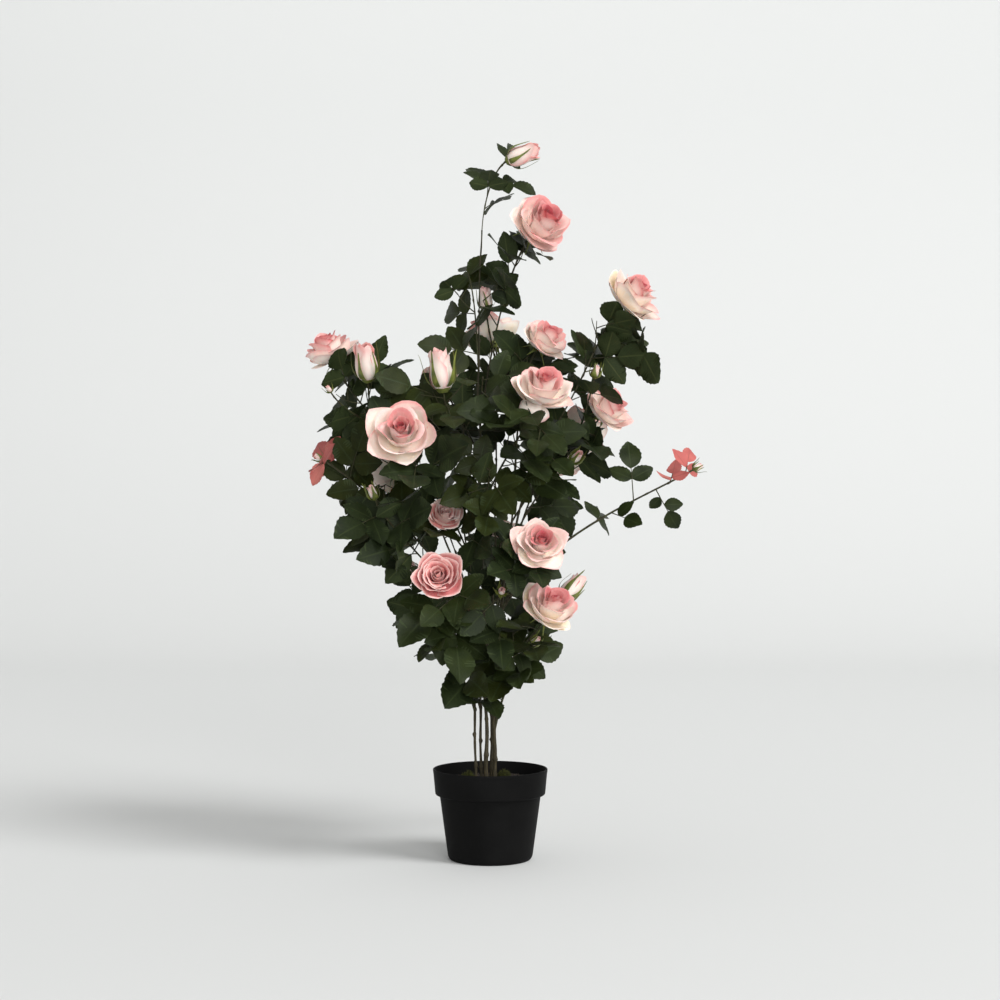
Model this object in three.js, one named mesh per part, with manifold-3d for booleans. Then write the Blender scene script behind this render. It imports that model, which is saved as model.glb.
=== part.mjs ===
// Artificial rose bush in a black nursery pot. Millimetres, +Z up, origin in the middle of the pot's base.
// Five canes stand in the filled pot. Boughs fork off the canes, and a spray of leaves and bloom grows on
// from each bough's tip, or straight from a cane. A seeded rule deals out the leaves of every spray.
import * as THREE from "three";
import { mergeVertices } from "three/addons/utils/BufferGeometryUtils.js";
import Module from "manifold-3d";

const wasm = await Module();
wasm.setup();

// ---------- driving dimensions ----------
const POT_HEIGHT = 130;
const POT_RIM_RADIUS = 82.5;
const POT_BAND_FOOT_RADIUS = 79;
const POT_BAND_HEIGHT = 37;
const POT_NECK_RADIUS = 73;
const POT_BASE_RADIUS = 60.5;
const POT_CORNER = 6;
const POT_WALL = 2.2;
const POT_SIDES = 28;
const FILLER_TOP = 112;
const GAP = 0.3; // between touching pieces

const CANE_SIDES = 6;
const CANE_STEPS = 8;
const BOUGH_SIDES = 4;
const BOUGH_STEPS = 3;
const STEM_SIDES = 3;
const STEM_STEPS = 4;
const TWIG_SIDES = 3;
const STEM_END_RADIUS = 1.4;
const PETIOLE_RADIUS = 1;
const LEAF_DEPTH = 1.6; // under the midrib

const GOLDEN_TURN = THREE.MathUtils.degToRad(137.5);
const UP = new THREE.Vector3(0, 0, 1);

// ---------- finishes ----------
const finish = (color, roughness) => new THREE.MeshStandardMaterial({ color, roughness, metalness: 0 });
const POT_PLASTIC = finish(0x161616, 0.6);
const FILLER_CRUMB = finish(0x1b1815, 0.95);
const MOSS = finish(0x37411b, 1);
const CANE_BARK = finish(0x574834, 0.75);
const FOLIAGE = finish(0x2c3a22, 0.6);

// ---------- canes: foot on the filler, tip, the way the tip points, and radius at foot and tip ----------
const CANES = {
  left: { foot: [-21, -4], tip: [-88, -60, 545], heading: [-0.4, -0.45, 0.8], radius: [2.7, 1.7] },
  mid_left: { foot: [-13, 3], tip: [-52, -22, 570], heading: [-0.15, -0.2, 1], radius: [2.8, 1.7] },
  tall: { foot: [-6, -6], tip: [-12, 0, 905], heading: [0.05, 0, 1], radius: [3.3, 1.3] },
  right: { foot: [6, -3], tip: [102, 5, 636], heading: [0.5, 0, 0.85], radius: [3.3, 1.8] },
  back: { foot: [1, 9], tip: [8, 80, 600], heading: [0, 0.35, 0.95], radius: [3, 1.8] },
};

// ---------- sprays ----------
// cane and fork: where the limb leaves its cane, as a share of the cane's length.
// bough: share of the limb that is bough; the rest is the spray's own stem.
// end: where the limb ends, and facing: the way its bloom looks.
// bloom: [kind, radius of a rose or length of a bud].
// leaves: how many compound leaves, and leaflet: the length of their end leaflet.
// isShoot: the spray reaches out of the crown's outline.
// look: the way its leaves face, where that isn't up and to the outside of the crown.
const SPRAYS = {
  top: {
    cane: "tall", fork: 1, bough: 0, end: [26, -6, 1004], facing: [0.9, -0.25, 0.3], seed: 675,
    bloom: ["bud", 47], leaves: 7, leaflet: 42,
  },
  upper_rose: {
    cane: "tall", fork: 0.62, bough: 0.35, end: [60, -6, 898], facing: [0.5, -0.65, 0.5], seed: 31,
    bloom: ["rose", 47], leaves: 9, leaflet: 56,
  },
  tall_leaves: {
    cane: "tall", fork: 0.74, bough: 0, end: [-34, -20, 846], facing: [-0.4, -0.3, 0.9], seed: 1389,
    bloom: null, leaves: 8, leaflet: 56,
  },
  right_high: {
    cane: "right", fork: 1, bough: 0, end: [190, 16, 797], facing: [0.62, -0.4, 0.62], seed: 337,
    bloom: ["rose", 45], leaves: 14, leaflet: 62,
  },
  upper_mid: {
    cane: "right", fork: 0.55, bough: 0.3, end: [68, -8, 733], facing: [0.55, -0.45, 0.7], seed: 395,
    bloom: ["rose", 36], leaves: 10, leaflet: 56,
  },
  back_upper: {
    cane: "back", fork: 1, bough: 0, end: [6, 52, 742], facing: [-0.3, 0.45, 0.75], seed: 57,
    bloom: ["rose", 41], leaves: 9, leaflet: 56, sides: [{ at: 0.5, end: [-6, 24, 792], bud: 34 }],
  },
  front_upper: {
    cane: "tall", fork: 0.45, bough: 0.3, end: [66, -96, 652], facing: [0.25, -0.55, 0.8], seed: 91,
    bloom: ["rose", 44], leaves: 11, leaflet: 62,
  },
  right_mid: {
    cane: "right", fork: 0.62, bough: 0.3, end: [158, -2, 634], facing: [0.6, -0.45, 0.65], seed: 170,
    bloom: ["rose", 38], leaves: 11, leaflet: 60, sides: [{ at: 0.55, end: [148, -34, 690], bud: 20 }],
  },
  mid_bud: {
    cane: "mid_left", fork: 1, bough: 0, end: [-66, -58, 672], facing: [-0.12, -0.1, 1], seed: 456,
    bloom: ["bud", 57], leaves: 12, leaflet: 62,
  },
  left_high: {
    cane: "mid_left", fork: 0.72, bough: 0.3, end: [-224, 14, 712], facing: [-0.35, -0.2, 0.9], seed: 1690,
    bloom: ["rose", 41], leaves: 14, leaflet: 62,
    sides: [
      { at: 0.62, end: [-174, -36, 688], bud: 54 },
      { at: 0.5, end: [-224, -62, 668], bud: 12, leaves: 2, leaflet: 32, young: true },
    ],
  },
  left_front: {
    cane: "left", fork: 1, bough: 0, end: [-124, -104, 597], facing: [0.05, -0.85, 0.45], seed: 282,
    bloom: ["rose", 47], leaves: 10, leaflet: 62,
  },
  left_inner: {
    cane: "left", fork: 0.6, bough: 0.3, end: [-68, -62, 486], facing: [0.25, -0.7, 0.6], seed: 13,
    bloom: ["rosette", 26], leaves: 10, leaflet: 60,
  },
  low_left_rose: {
    cane: "left", fork: 0.3, bough: 0.3, end: [-70, -112, 404], facing: [-0.05, -0.9, 0.4], seed: 292,
    bloom: ["rosette", 35], leaves: 11, leaflet: 66,
  },
  right_front: {
    cane: "tall", fork: 0.2, bough: 0.35, end: [64, -112, 446], facing: [0.2, -0.8, 0.5], seed: 359,
    bloom: ["rose", 37], leaves: 11, leaflet: 60,
  },
  low_right_rose: {
    cane: "right", fork: 0.2, bough: 0.3, end: [76, -98, 352], facing: [0.35, -0.55, 0.75], seed: 1,
    bloom: ["rose", 41], leaves: 10, leaflet: 58,
  },
  right_inner: {
    cane: "right", fork: 0.52, bough: 0.3, end: [104, 48, 590], facing: [0.3, 0.6, -0.35], seed: 101,
    bloom: ["rose", 34], leaves: 10, leaflet: 60, sides: [{ at: 0.7, end: [118, -38, 572], bud: 24 }],
  },
  left_low: {
    cane: "left", fork: 0.45, bough: 0.3, end: [-160, -96, 518], facing: [-0.3, -0.4, 0.85], seed: 150,
    bloom: ["bud", 22], leaves: 12, leaflet: 70,
  },
  left_tip: {
    cane: "mid_left", fork: 0.45, bough: 0.3, end: [-240, -20, 574], facing: [-0.8, -0.1, 0.5], seed: 902,
    bloom: ["bud", 14], leaves: 12, leaflet: 60, young: 2, look: [-0.4, -0.9, 0.4],
  },
  right_shoot: {
    cane: "right", fork: 0.42, bough: 0.4, end: [292, -2, 560], facing: [0.85, 0, 0.5], seed: 1783,
    bloom: ["bud", 16], leaves: 6, leaflet: 44, young: 2, isShoot: true, look: [0, -1, 0.3],
  },
  front_low: {
    cane: "tall", fork: 0.15, bough: 0, end: [16, -104, 388], facing: [0.05, -0.9, 0.35], seed: 36,
    bloom: ["bud", 18], leaves: 10, leaflet: 60,
  },
  low_left: {
    cane: "left", fork: 0.2, bough: 0, end: [-84, -56, 318], facing: [-0.8, -0.5, 0.2], seed: 62,
    bloom: null, leaves: 11, leaflet: 62,
  },
  low_right: {
    cane: "right", fork: 0.12, bough: 0, end: [58, -58, 312], facing: [0.6, -0.5, 0.6], seed: 91,
    bloom: ["bud", 20], leaves: 11, leaflet: 54,
  },
  inner_low: {
    cane: "mid_left", fork: 0.35, bough: 0, end: [-30, -72, 470], facing: [0, -0.5, 0.8], seed: 108,
    bloom: null, leaves: 11, leaflet: 60,
  },
  inner_mid: {
    cane: "tall", fork: 0.38, bough: 0, end: [0, -92, 560], facing: [0.1, -0.6, 0.8], seed: 95,
    bloom: null, leaves: 12, leaflet: 62,
  },
  inner_high: {
    cane: "tall", fork: 0.52, bough: 0, end: [-10, -60, 690], facing: [0.1, -0.5, 0.9], seed: 280,
    bloom: null, leaves: 12, leaflet: 60,
  },
  back_high: {
    cane: "back", fork: 0.8, bough: 0.3, end: [-66, 96, 676], facing: [-0.35, 0.65, 0.65], seed: 358,
    bloom: ["rose", 39], leaves: 7, leaflet: 60,
  },
  back_right: {
    cane: "back", fork: 0.62, bough: 0.3, end: [128, 128, 610], facing: [0.45, 0.65, 0.6], seed: 391,
    bloom: ["rose", 41], leaves: 8, leaflet: 62,
  },
  back_left: {
    cane: "back", fork: 0.48, bough: 0.3, end: [-140, 124, 552], facing: [-0.45, 0.7, 0.5], seed: 485,
    bloom: ["rose", 41], leaves: 8, leaflet: 62,
  },
  back_low: {
    cane: "back", fork: 0.34, bough: 0.3, end: [22, 140, 446], facing: [0.05, 0.85, 0.45], seed: 477,
    bloom: ["rosette", 35], leaves: 7, leaflet: 64,
  },
  back_low_right: {
    cane: "back", fork: 0.18, bough: 0.25, end: [108, 92, 372], facing: [0.6, 0.5, 0.6], seed: 307,
    bloom: ["bud", 46], leaves: 7, leaflet: 64,
  },
  back_low_left: {
    cane: "mid_left", fork: 0.2, bough: 0.25, end: [-100, 84, 392], facing: [-0.6, 0.5, 0.6], seed: 155,
    bloom: ["bud", 46], leaves: 7, leaflet: 64,
  },
};

// ---------- small helpers ----------
const vec = (numbers) => new THREE.Vector3(...numbers);
const unit = (numbers) => vec(numbers).normalize();
const along = (point, way, distance) => point.clone().addScaledVector(way, distance);

// A repeatable stream of numbers from 0 to 1.
function seededNumbers(seed) {
  let state = seed;
  return () => {
    state = (state * 1664525 + 1013904223) % 4294967296;
    return state / 4294967296;
  };
}

function closedSolid(geometry) {
  const bare = new THREE.BufferGeometry()
    .setAttribute("position", geometry.getAttribute("position"))
    .setIndex(geometry.index);
  const merged = mergeVertices(bare, 1e-4);
  const corners = merged.index.array;
  const kept = [];
  for (let i = 0; i < corners.length; i += 3) {
    const [a, b, c] = [corners[i], corners[i + 1], corners[i + 2]];
    if (a !== b && b !== c && c !== a) kept.push(a, b, c);
  }
  return new wasm.Manifold(
    new wasm.Mesh({
      numProp: 3,
      vertProperties: merged.attributes.position.array,
      triVerts: new Uint32Array(kept),
    }),
  );
}

function largestBody(solid) {
  return solid.decompose().reduce((best, body) => (body.volume() > best.volume() ? body : best));
}

// Moves each vertex of a ready-made shape to where place(vertex) says.
function shaped(geometry, place) {
  const spots = geometry.getAttribute("position");
  const vertex = new THREE.Vector3();
  for (let i = 0; i < spots.count; i++) {
    vertex.fromBufferAttribute(spots, i);
    const spot = place(vertex);
    spots.setXYZ(i, spot.x, spot.y, spot.z);
  }
  return geometry;
}

// ---------- limbs: tapered tubes along a curve ----------
// Both side directions of a section at a share of the curve. They turn with the curve and don't twist.
function sectionAt(curve, share) {
  const tangent = curve.getTangent(share);
  const start = curve.getTangent(0);
  const bend = new THREE.Vector3().crossVectors(start, curve.getTangent(1));
  if (bend.length() < 0.05) bend.crossVectors(start, new THREE.Vector3(0.6, 0.8, 0));
  const across = new THREE.Vector3().crossVectors(bend, tangent).normalize();
  const other = new THREE.Vector3().crossVectors(across, tangent).normalize();
  return { tangent, across, other };
}

function limbSolid(limb, from, to, sides, steps, grown = 0) {
  const tube = shaped(new THREE.CylinderGeometry(1, 1, 1, sides, steps), (v) => {
    const share = from + (to - from) * (v.y + 0.5);
    const { tangent, across, other } = sectionAt(limb.curve, share);
    const radius = limb.radiusAt(share) + grown;
    const overrun = v.y > 0.499 ? grown : 0;
    return limb.curve
      .getPoint(share)
      .addScaledVector(across, v.x * radius)
      .addScaledVector(other, v.z * radius)
      .addScaledVector(tangent, overrun);
  });
  return closedSolid(tube);
}

function makeCane({ foot, tip, heading, radius }) {
  const start = new THREE.Vector3(foot[0], foot[1], FILLER_TOP + GAP);
  const end = vec(tip);
  const rise = end.z - start.z;
  const curve = new THREE.CubicBezierCurve3(
    start,
    along(start, UP, 0.4 * rise),
    along(end, unit(heading), -0.35 * rise),
    end,
  );
  const flare = 0.7; // the foot swells by this much over its last few millimetres
  const flareReach = 0.04;
  const radiusAt = (share) =>
    radius[0] + (radius[1] - radius[0]) * share + flare * Math.exp(-share / flareReach);
  return { curve, radiusAt };
}

// The whole limb of a spray, from its cane's axis to its bloom. It leaves a cane at a slant.
const FORK_SLANT = 0.9;
function makeLimb({ cane, fork, end, facing, bloom }, canes) {
  const parent = canes[cane];
  const start = parent.curve.getPoint(fork);
  const tip = vec(end);
  const span = start.distanceTo(tip);
  const heading = parent.curve
    .getTangent(fork)
    .addScaledVector(tip.clone().sub(start).normalize(), fork < 1 ? FORK_SLANT : 0)
    .normalize();
  const curve = new THREE.CubicBezierCurve3(
    start,
    along(start, heading, 0.38 * span),
    along(tip, unit(facing), -0.22 * span),
    tip,
  );
  const startRadius = Math.min(2.4, 0.72 * parent.radiusAt(fork));
  const endRadius = bloom ? STEM_END_RADIUS : 0.7 * STEM_END_RADIUS;
  const radiusAt = (share) => startRadius + (endRadius - startRadius) * share;
  return { curve, radiusAt };
}

// A side twig of a spray, which ends in a bud.
function makeSideTwig({ at, end }, limb) {
  const start = limb.curve.getPoint(at);
  const tip = vec(end);
  const span = start.distanceTo(tip);
  const facing = tip.clone().sub(start).normalize().addScaledVector(UP, 0.6).normalize();
  const curve = new THREE.CubicBezierCurve3(
    start,
    along(start, limb.curve.getTangent(at), 0.3 * span),
    along(tip, facing, -0.3 * span),
    tip,
  );
  return { curve, radiusAt: () => STEM_END_RADIUS, facing };
}

// ---------- leaves ----------
// A leaflet is a loft through rows of three corners: its two edges, and a keel under its midrib.
const LEAF_ROWS = [
  { along: 0, half: 0 },
  { along: 0.28, half: 0.32 },
  { along: 0.68, half: 0.26 },
  { along: 1, half: 0 },
];
const YOUNG_WIDTH = 0.88; // a young leaflet is slimmer by this much
const LEAF_DROOP = 0.1; // fall of the tip, as a share of length

// One spot of a leaflet: how far along the midrib, how far out to the right, and how far above the blade.
function leafSpot({ root, axis, normal, length }, share, out, lift = 0) {
  const right = new THREE.Vector3().crossVectors(axis, normal);
  const rise = lift - LEAF_DROOP * share * share * length;
  return along(along(along(root, axis, share * length), right, out), normal, rise);
}

function leafRow(leaf, { along: share, half }) {
  const out = half * leaf.width * leaf.length;
  const lift = half && -LEAF_DEPTH;
  return [leafSpot(leaf, share, out), leafSpot(leaf, share, -out), leafSpot(leaf, share, 0, lift)];
}

// A solid through rows of three corners each. A row may shrink to a point.
function loft(rows) {
  const tube = new THREE.CylinderGeometry(1, 1, 1, 3, rows.length - 1);
  return closedSolid(
    shaped(tube, (v) => {
      const row = rows[Math.round((0.5 - v.y) * (rows.length - 1))];
      if (Math.hypot(v.x, v.z) < 0.5) return row[0].clone().add(row[1]).add(row[2]).divideScalar(3);
      return row[(Math.round((1.5 * Math.atan2(v.x, v.z)) / Math.PI) + 3) % 3];
    }),
  );
}

const leafSolid = (leaf) => loft(LEAF_ROWS.map((row) => leafRow(leaf, row)));

// The petiole and its end leaflet are one loft.
function stalkedLeafSolid({ foot, axis, reach, normal }, endLeaflet) {
  const right = new THREE.Vector3().crossVectors(axis, normal);
  const stalkRow = (distance, radius) =>
    [30, 150, 270].map((degrees) => {
      const angle = THREE.MathUtils.degToRad(degrees);
      const middle = along(foot, axis, distance);
      return along(along(middle, right, radius * Math.cos(angle)), normal, radius * Math.sin(angle));
    });
  const stalk = [stalkRow(0, PETIOLE_RADIUS), stalkRow(reach, 0.8 * PETIOLE_RADIUS)];
  return loft([...stalk, ...LEAF_ROWS.slice(1).map((row) => leafRow(endLeaflet, row))]);
}

// A compound leaf: a petiole that carries an end leaflet and one or two pairs, all near one plane.
// Its face turns up and to the outside of the crown, which is oval in plan: wider than it is deep.
const CROWN_OVAL = 0.35; // depth over width, squared
const CROWN_MIDDLE = 20; // how far behind the pot's axis the middle of the oval lies
const PAIR_SPREAD = THREE.MathUtils.degToRad(62);
const PAIR_SIZE = 0.84;
const PETIOLE_SHARE = 0.42; // length of petiole under the first pair, in end leaflet lengths
const RACHIS_SHARE = 0.36; // from one pair to the next, and to the end leaflet

function compoundLeaf(curve, share, turn, size, width, pairs, look, next) {
  const foot = curve.getPoint(share);
  const { tangent, across, other } = sectionAt(curve, share);
  const outward = across.clone().multiplyScalar(Math.cos(turn)).addScaledVector(other, Math.sin(turn));
  const lean = THREE.MathUtils.degToRad(52 + 26 * next());
  const axis = outward
    .clone()
    .multiplyScalar(Math.sin(lean))
    .addScaledVector(tangent, Math.cos(lean))
    .addScaledVector(UP, -0.45 + 0.5 * next())
    .normalize();
  const outside = new THREE.Vector3(CROWN_OVAL * foot.x, foot.y - CROWN_MIDDLE, 0).normalize();
  const skyShare = 0.4 + 0.6 * next();
  const sky = look ? unit(look) : UP.clone().multiplyScalar(0.7).addScaledVector(outside, skyShare);
  const side = new THREE.Vector3().crossVectors(sky, axis).normalize();
  side.applyAxisAngle(axis, (next() - 0.5) * 1.4);
  const normal = new THREE.Vector3().crossVectors(axis, side).normalize();
  const length = size * (0.88 + 0.24 * next());
  const reach = (PETIOLE_SHARE + RACHIS_SHARE * pairs) * length;
  const leaflets = [];
  const add = (distance, angle, scale) => {
    const way = axis.clone().applyAxisAngle(normal, angle);
    const tilt = side.clone().applyAxisAngle(normal, angle).applyAxisAngle(way, (next() - 0.5) * 0.6);
    leaflets.push({
      root: along(foot, axis, distance),
      axis: way,
      normal: new THREE.Vector3().crossVectors(way, tilt).normalize(),
      length: scale * length * (0.93 + 0.14 * next()),
      width,
    });
  };
  add(reach, 0, 1);
  for (let pair = 1; pair <= pairs; pair++) {
    const distance = reach - RACHIS_SHARE * length * pair;
    const scale = PAIR_SIZE - 0.12 * (pair - 1);
    add(distance, PAIR_SPREAD, scale);
    add(distance, -PAIR_SPREAD, scale);
  }
  return { foot, axis, normal, reach, leaflets };
}

// ---------- keeping clear ----------
const LEAF_TO_LIMB = 2.5;
const LEAF_TO_LEAF = 6;
const LEAF_TO_BLOOM = 2;
const SPACE_OVERLAP = 30; // how far past the border of its own space a leaf's tip may reach
const LIMB_SAMPLES = 10;

// The crown is an upright V. Each row gives a height, and how far left and right leaves reach there.
const CROWN_OUTLINE = [
  [205, -64, 54],
  [260, -90, 90],
  [290, -138, 104],
  [400, -160, 116],
  [430, -205, 138],
  [520, -250, 152],
  [600, -262, 205],
  [700, -270, 240],
  [748, -262, 248],
  [770, -100, 250],
  [860, -64, 245],
  [885, -30, 110],
  [950, -46, 90],
  [1040, -46, 78],
];
const TOP_GAP = { above: 765, below: 850, left: 57, right: 150 }; // open air between the two highest canes

function limbLine({ curve, radiusAt }, from, to) {
  const points = [];
  for (let i = 0; i <= LIMB_SAMPLES; i++) {
    const share = from + ((to - from) * i) / LIMB_SAMPLES;
    points.push({ at: curve.getPoint(share), radius: radiusAt(share) });
  }
  return points;
}

const segment = new THREE.Line3();
const nearest = new THREE.Vector3();
function distanceToLine(point, line) {
  let best = Infinity;
  for (let i = 1; i < line.length; i++) {
    segment.set(line[i - 1].at, line[i].at).closestPointToPoint(point, true, nearest);
    best = Math.min(best, nearest.distanceTo(point) - line[i].radius);
  }
  return best;
}

function inCrown(points) {
  return points.every(({ x, z }) => {
    const row = CROWN_OUTLINE.findIndex(([height]) => height > z);
    if (row < 1) return false;
    const [low, high] = [CROWN_OUTLINE[row - 1], CROWN_OUTLINE[row]];
    const part = (z - low[0]) / (high[0] - low[0]);
    const reach = (side) => low[side] + (high[side] - low[side]) * part;
    const isInGap = z > TOP_GAP.above && z < TOP_GAP.below && x > TOP_GAP.left && x < TOP_GAP.right;
    return x > reach(1) && x < reach(2) && !isInGap;
  });
}

// Points over a leaflet that stand for all of it. Its root isn't one of them, as that lies in its petiole.
function leafSamples(leaf) {
  return [
    along(leaf.root, leaf.axis, 0.2 * leaf.length),
    leafSpot(leaf, 0.5, 0),
    ...LEAF_ROWS.slice(1, 3).flatMap((row) => leafRow(leaf, row).slice(0, 2)),
    leafSpot(leaf, 1, 0),
  ];
}

// ---------- blooms ----------
// Profiles run from the foot on the axis to the middle on the axis, as shares of radius or length.
const ROSE_PROFILE = [[0, -0.74], [0.55, -0.5], [1, 0.12], [0.68, 0.2], [0.5, 0.52], [0, 0.38]];
const ROSETTE_PROFILE = [[0, -0.74], [0.5, -0.5], [1, 0.05], [0.6, 0.36], [0, 0.32]];
const BUD_PROFILE = [[0, 0], [0.3, 0.15], [0.39, 0.42], [0.26, 0.84], [0, 1]];
const BLOOM_PROFILES = { rose: ROSE_PROFILE, rosette: ROSETTE_PROFILE, bud: BUD_PROFILE };
const ROSE_LOBES = 5;
const ROSE_SIDES = 10;
const BUD_SIDES = 6;
const ROSE_SEAT = 0.66; // from the end of its stem to the middle of a rose, in radii
const BUD_SINK = 0.08;

function bloomSolid({ kind, size, at, facing }) {
  const isBud = kind === "bud";
  const profile = BLOOM_PROFILES[kind].map(([r, h]) => new THREE.Vector2(r * size, h * size));
  const lathe = new THREE.LatheGeometry(profile, isBud ? BUD_SIDES : ROSE_SIDES);
  const lobe = { rose: 0.12, rosette: 0.04, bud: 0 }[kind];
  const turn = new THREE.Quaternion().setFromUnitVectors(new THREE.Vector3(0, 1, 0), facing);
  const middle = along(at, facing, (isBud ? -BUD_SINK : ROSE_SEAT) * size);
  return closedSolid(
    shaped(lathe, (v) => {
      const outness = Math.hypot(v.x, v.z) / size;
      const wave = 1 - lobe * outness * (1 - Math.cos(ROSE_LOBES * Math.atan2(v.z, v.x)));
      return new THREE.Vector3(v.x * wave, v.y, v.z * wave).applyQuaternion(turn).add(middle);
    }),
  );
}

// ---------- pot, filler and moss ----------
const revolved = (points, sides) => {
  const lathe = new THREE.LatheGeometry(points.map(([r, z]) => new THREE.Vector2(r, z)), sides);
  return closedSolid(lathe.rotateX(Math.PI / 2));
};

function potSolid() {
  const bandFoot = POT_HEIGHT - POT_BAND_HEIGHT;
  const corner = [0, 1, 2].map((i) => {
    const angle = (Math.PI / 4) * i;
    return [
      POT_BASE_RADIUS - POT_CORNER + POT_CORNER * Math.sin(angle),
      POT_CORNER - POT_CORNER * Math.cos(angle),
    ];
  });
  return revolved(
    [
      [0, 0],
      ...corner,
      [POT_NECK_RADIUS, bandFoot],
      [POT_BAND_FOOT_RADIUS - 2, bandFoot],
      [POT_BAND_FOOT_RADIUS, bandFoot + 2],
      [POT_RIM_RADIUS, POT_HEIGHT - 1],
      [POT_RIM_RADIUS - 1, POT_HEIGHT],
      [POT_RIM_RADIUS - POT_WALL, POT_HEIGHT - 0.5],
      [POT_BAND_FOOT_RADIUS - POT_WALL, bandFoot + 4],
      [POT_NECK_RADIUS - POT_WALL, bandFoot],
      [POT_BASE_RADIUS - POT_WALL, POT_WALL],
      [0, POT_WALL],
    ],
    POT_SIDES,
  );
}

function fillerSolid() {
  const bandFoot = POT_HEIGHT - POT_BAND_HEIGHT;
  const inside = POT_WALL + 2 * GAP;
  const slope = (POT_RIM_RADIUS - POT_BAND_FOOT_RADIUS) / POT_BAND_HEIGHT;
  const topRadius = POT_BAND_FOOT_RADIUS + slope * (FILLER_TOP - bandFoot) - inside - GAP;
  return revolved(
    [
      [0, POT_WALL + GAP],
      [POT_BASE_RADIUS - inside, POT_WALL + GAP],
      [POT_NECK_RADIUS - inside, bandFoot + GAP],
      [POT_BAND_FOOT_RADIUS - inside - GAP, bandFoot + 5],
      [topRadius, FILLER_TOP],
      [0, FILLER_TOP],
    ],
    POT_SIDES,
  );
}

const MOSS_TUFTS = {
  moss_left: { at: [-37, -6], radius: 11, height: 14, seed: 5 },
  moss_right: { at: [23, 1], radius: 11, height: 15, seed: 9 },
};

function mossSolid({ at, radius, height, seed }) {
  const next = seededNumbers(seed);
  const bumps = Array.from({ length: 64 }, () => 0.82 + 0.3 * next());
  const profile = [[0, 0], [0.9, 0], [1, 0.3], [0.75, 0.7], [0.35, 0.95], [0, 1]];
  const lathe = new THREE.LatheGeometry(
    profile.map(([r, z]) => new THREE.Vector2(r * radius, z * height)),
    9,
  ).rotateX(Math.PI / 2);
  return closedSolid(
    shaped(lathe, (v) => {
      const ring = Math.round((5 * v.z) / height);
      const spoke = Math.round((4.5 * Math.atan2(v.y, v.x)) / Math.PI) + 9;
      const bump = v.z < 0.1 ? 1 : bumps[(ring * 9 + (spoke % 9)) % 64];
      return new THREE.Vector3(at[0] + v.x * bump, at[1] + v.y * bump, FILLER_TOP + GAP + v.z);
    }),
  );
}

// ---------- laying out the bush ----------
const canes = Object.fromEntries(Object.entries(CANES).map(([name, cane]) => [name, makeCane(cane)]));

// Each spray has a stem of its own and may have side twigs. All of them can carry leaves and a bloom.
const sprays = Object.entries(SPRAYS).map(([name, spray]) => {
  const { cane, bough, bloom, leaves, leaflet, young = 0, sides = [], isShoot = false, look } = spray;
  const limb = makeLimb(spray, canes);
  const main = { ...limb, from: bough, leaves, leaflet, young };
  if (bloom) main.bloom = { kind: bloom[0], size: bloom[1], at: vec(spray.end), facing: unit(spray.facing) };
  const twigs = sides.map((side) => {
    const { curve, radiusAt, facing } = makeSideTwig(side, limb);
    const bud = { kind: "bud", size: side.bud, at: vec(side.end), facing };
    const count = side.leaves ?? 0;
    return { curve, radiusAt, from: 0, leaves: count, leaflet: side.leaflet, young: count, bloom: bud };
  });
  const stems = [main, ...twigs];
  return { name, cane, bough, limb, stems, isShoot, look, seed: spray.seed, spine: limbLine(limb, bough, 1) };
});

const limbLines = [
  ...Object.values(canes).map((cane) => ({ owner: null, line: limbLine(cane, 0, 1) })),
  ...sprays.flatMap(({ name, stems }) =>
    stems.map((stem) => ({ owner: name, line: limbLine(stem, 0, 1) })),
  ),
];

// A ball round each bloom that leaves keep out of.
const bloomBalls = sprays.flatMap(({ stems }) =>
  stems
    .filter(({ bloom }) => bloom)
    .map(({ bloom: { kind, size, at, facing } }) => {
      const isBud = kind === "bud";
      return { at: along(at, facing, (isBud ? 0.5 : ROSE_SEAT) * size), radius: (isBud ? 0.5 : 0.88) * size };
    }),
);

// ---------- growing the leaves ----------
const leafPointsSoFar = [];

const clearOfLimbs = (points, owner) =>
  limbLines.every((limb) => {
    const least = limb.owner === owner ? 1 : LEAF_TO_LIMB;
    return points.every((point) => distanceToLine(point, limb.line) > least);
  });

const inOwnSpace = (points, spray) =>
  points.every((point) => {
    const reach = distanceToLine(point, spray.spine) - SPACE_OVERLAP;
    return sprays.every((other) => other === spray || distanceToLine(point, other.spine) > reach);
  });

const clearOfLeaves = (points) =>
  leafPointsSoFar.every((other) => points.every((point) => point.distanceTo(other) > LEAF_TO_LEAF));

const clearOfBlooms = (points) =>
  bloomBalls.every(({ at, radius }) =>
    points.every((point) => point.distanceTo(at) > radius + LEAF_TO_BLOOM),
  );

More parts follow.
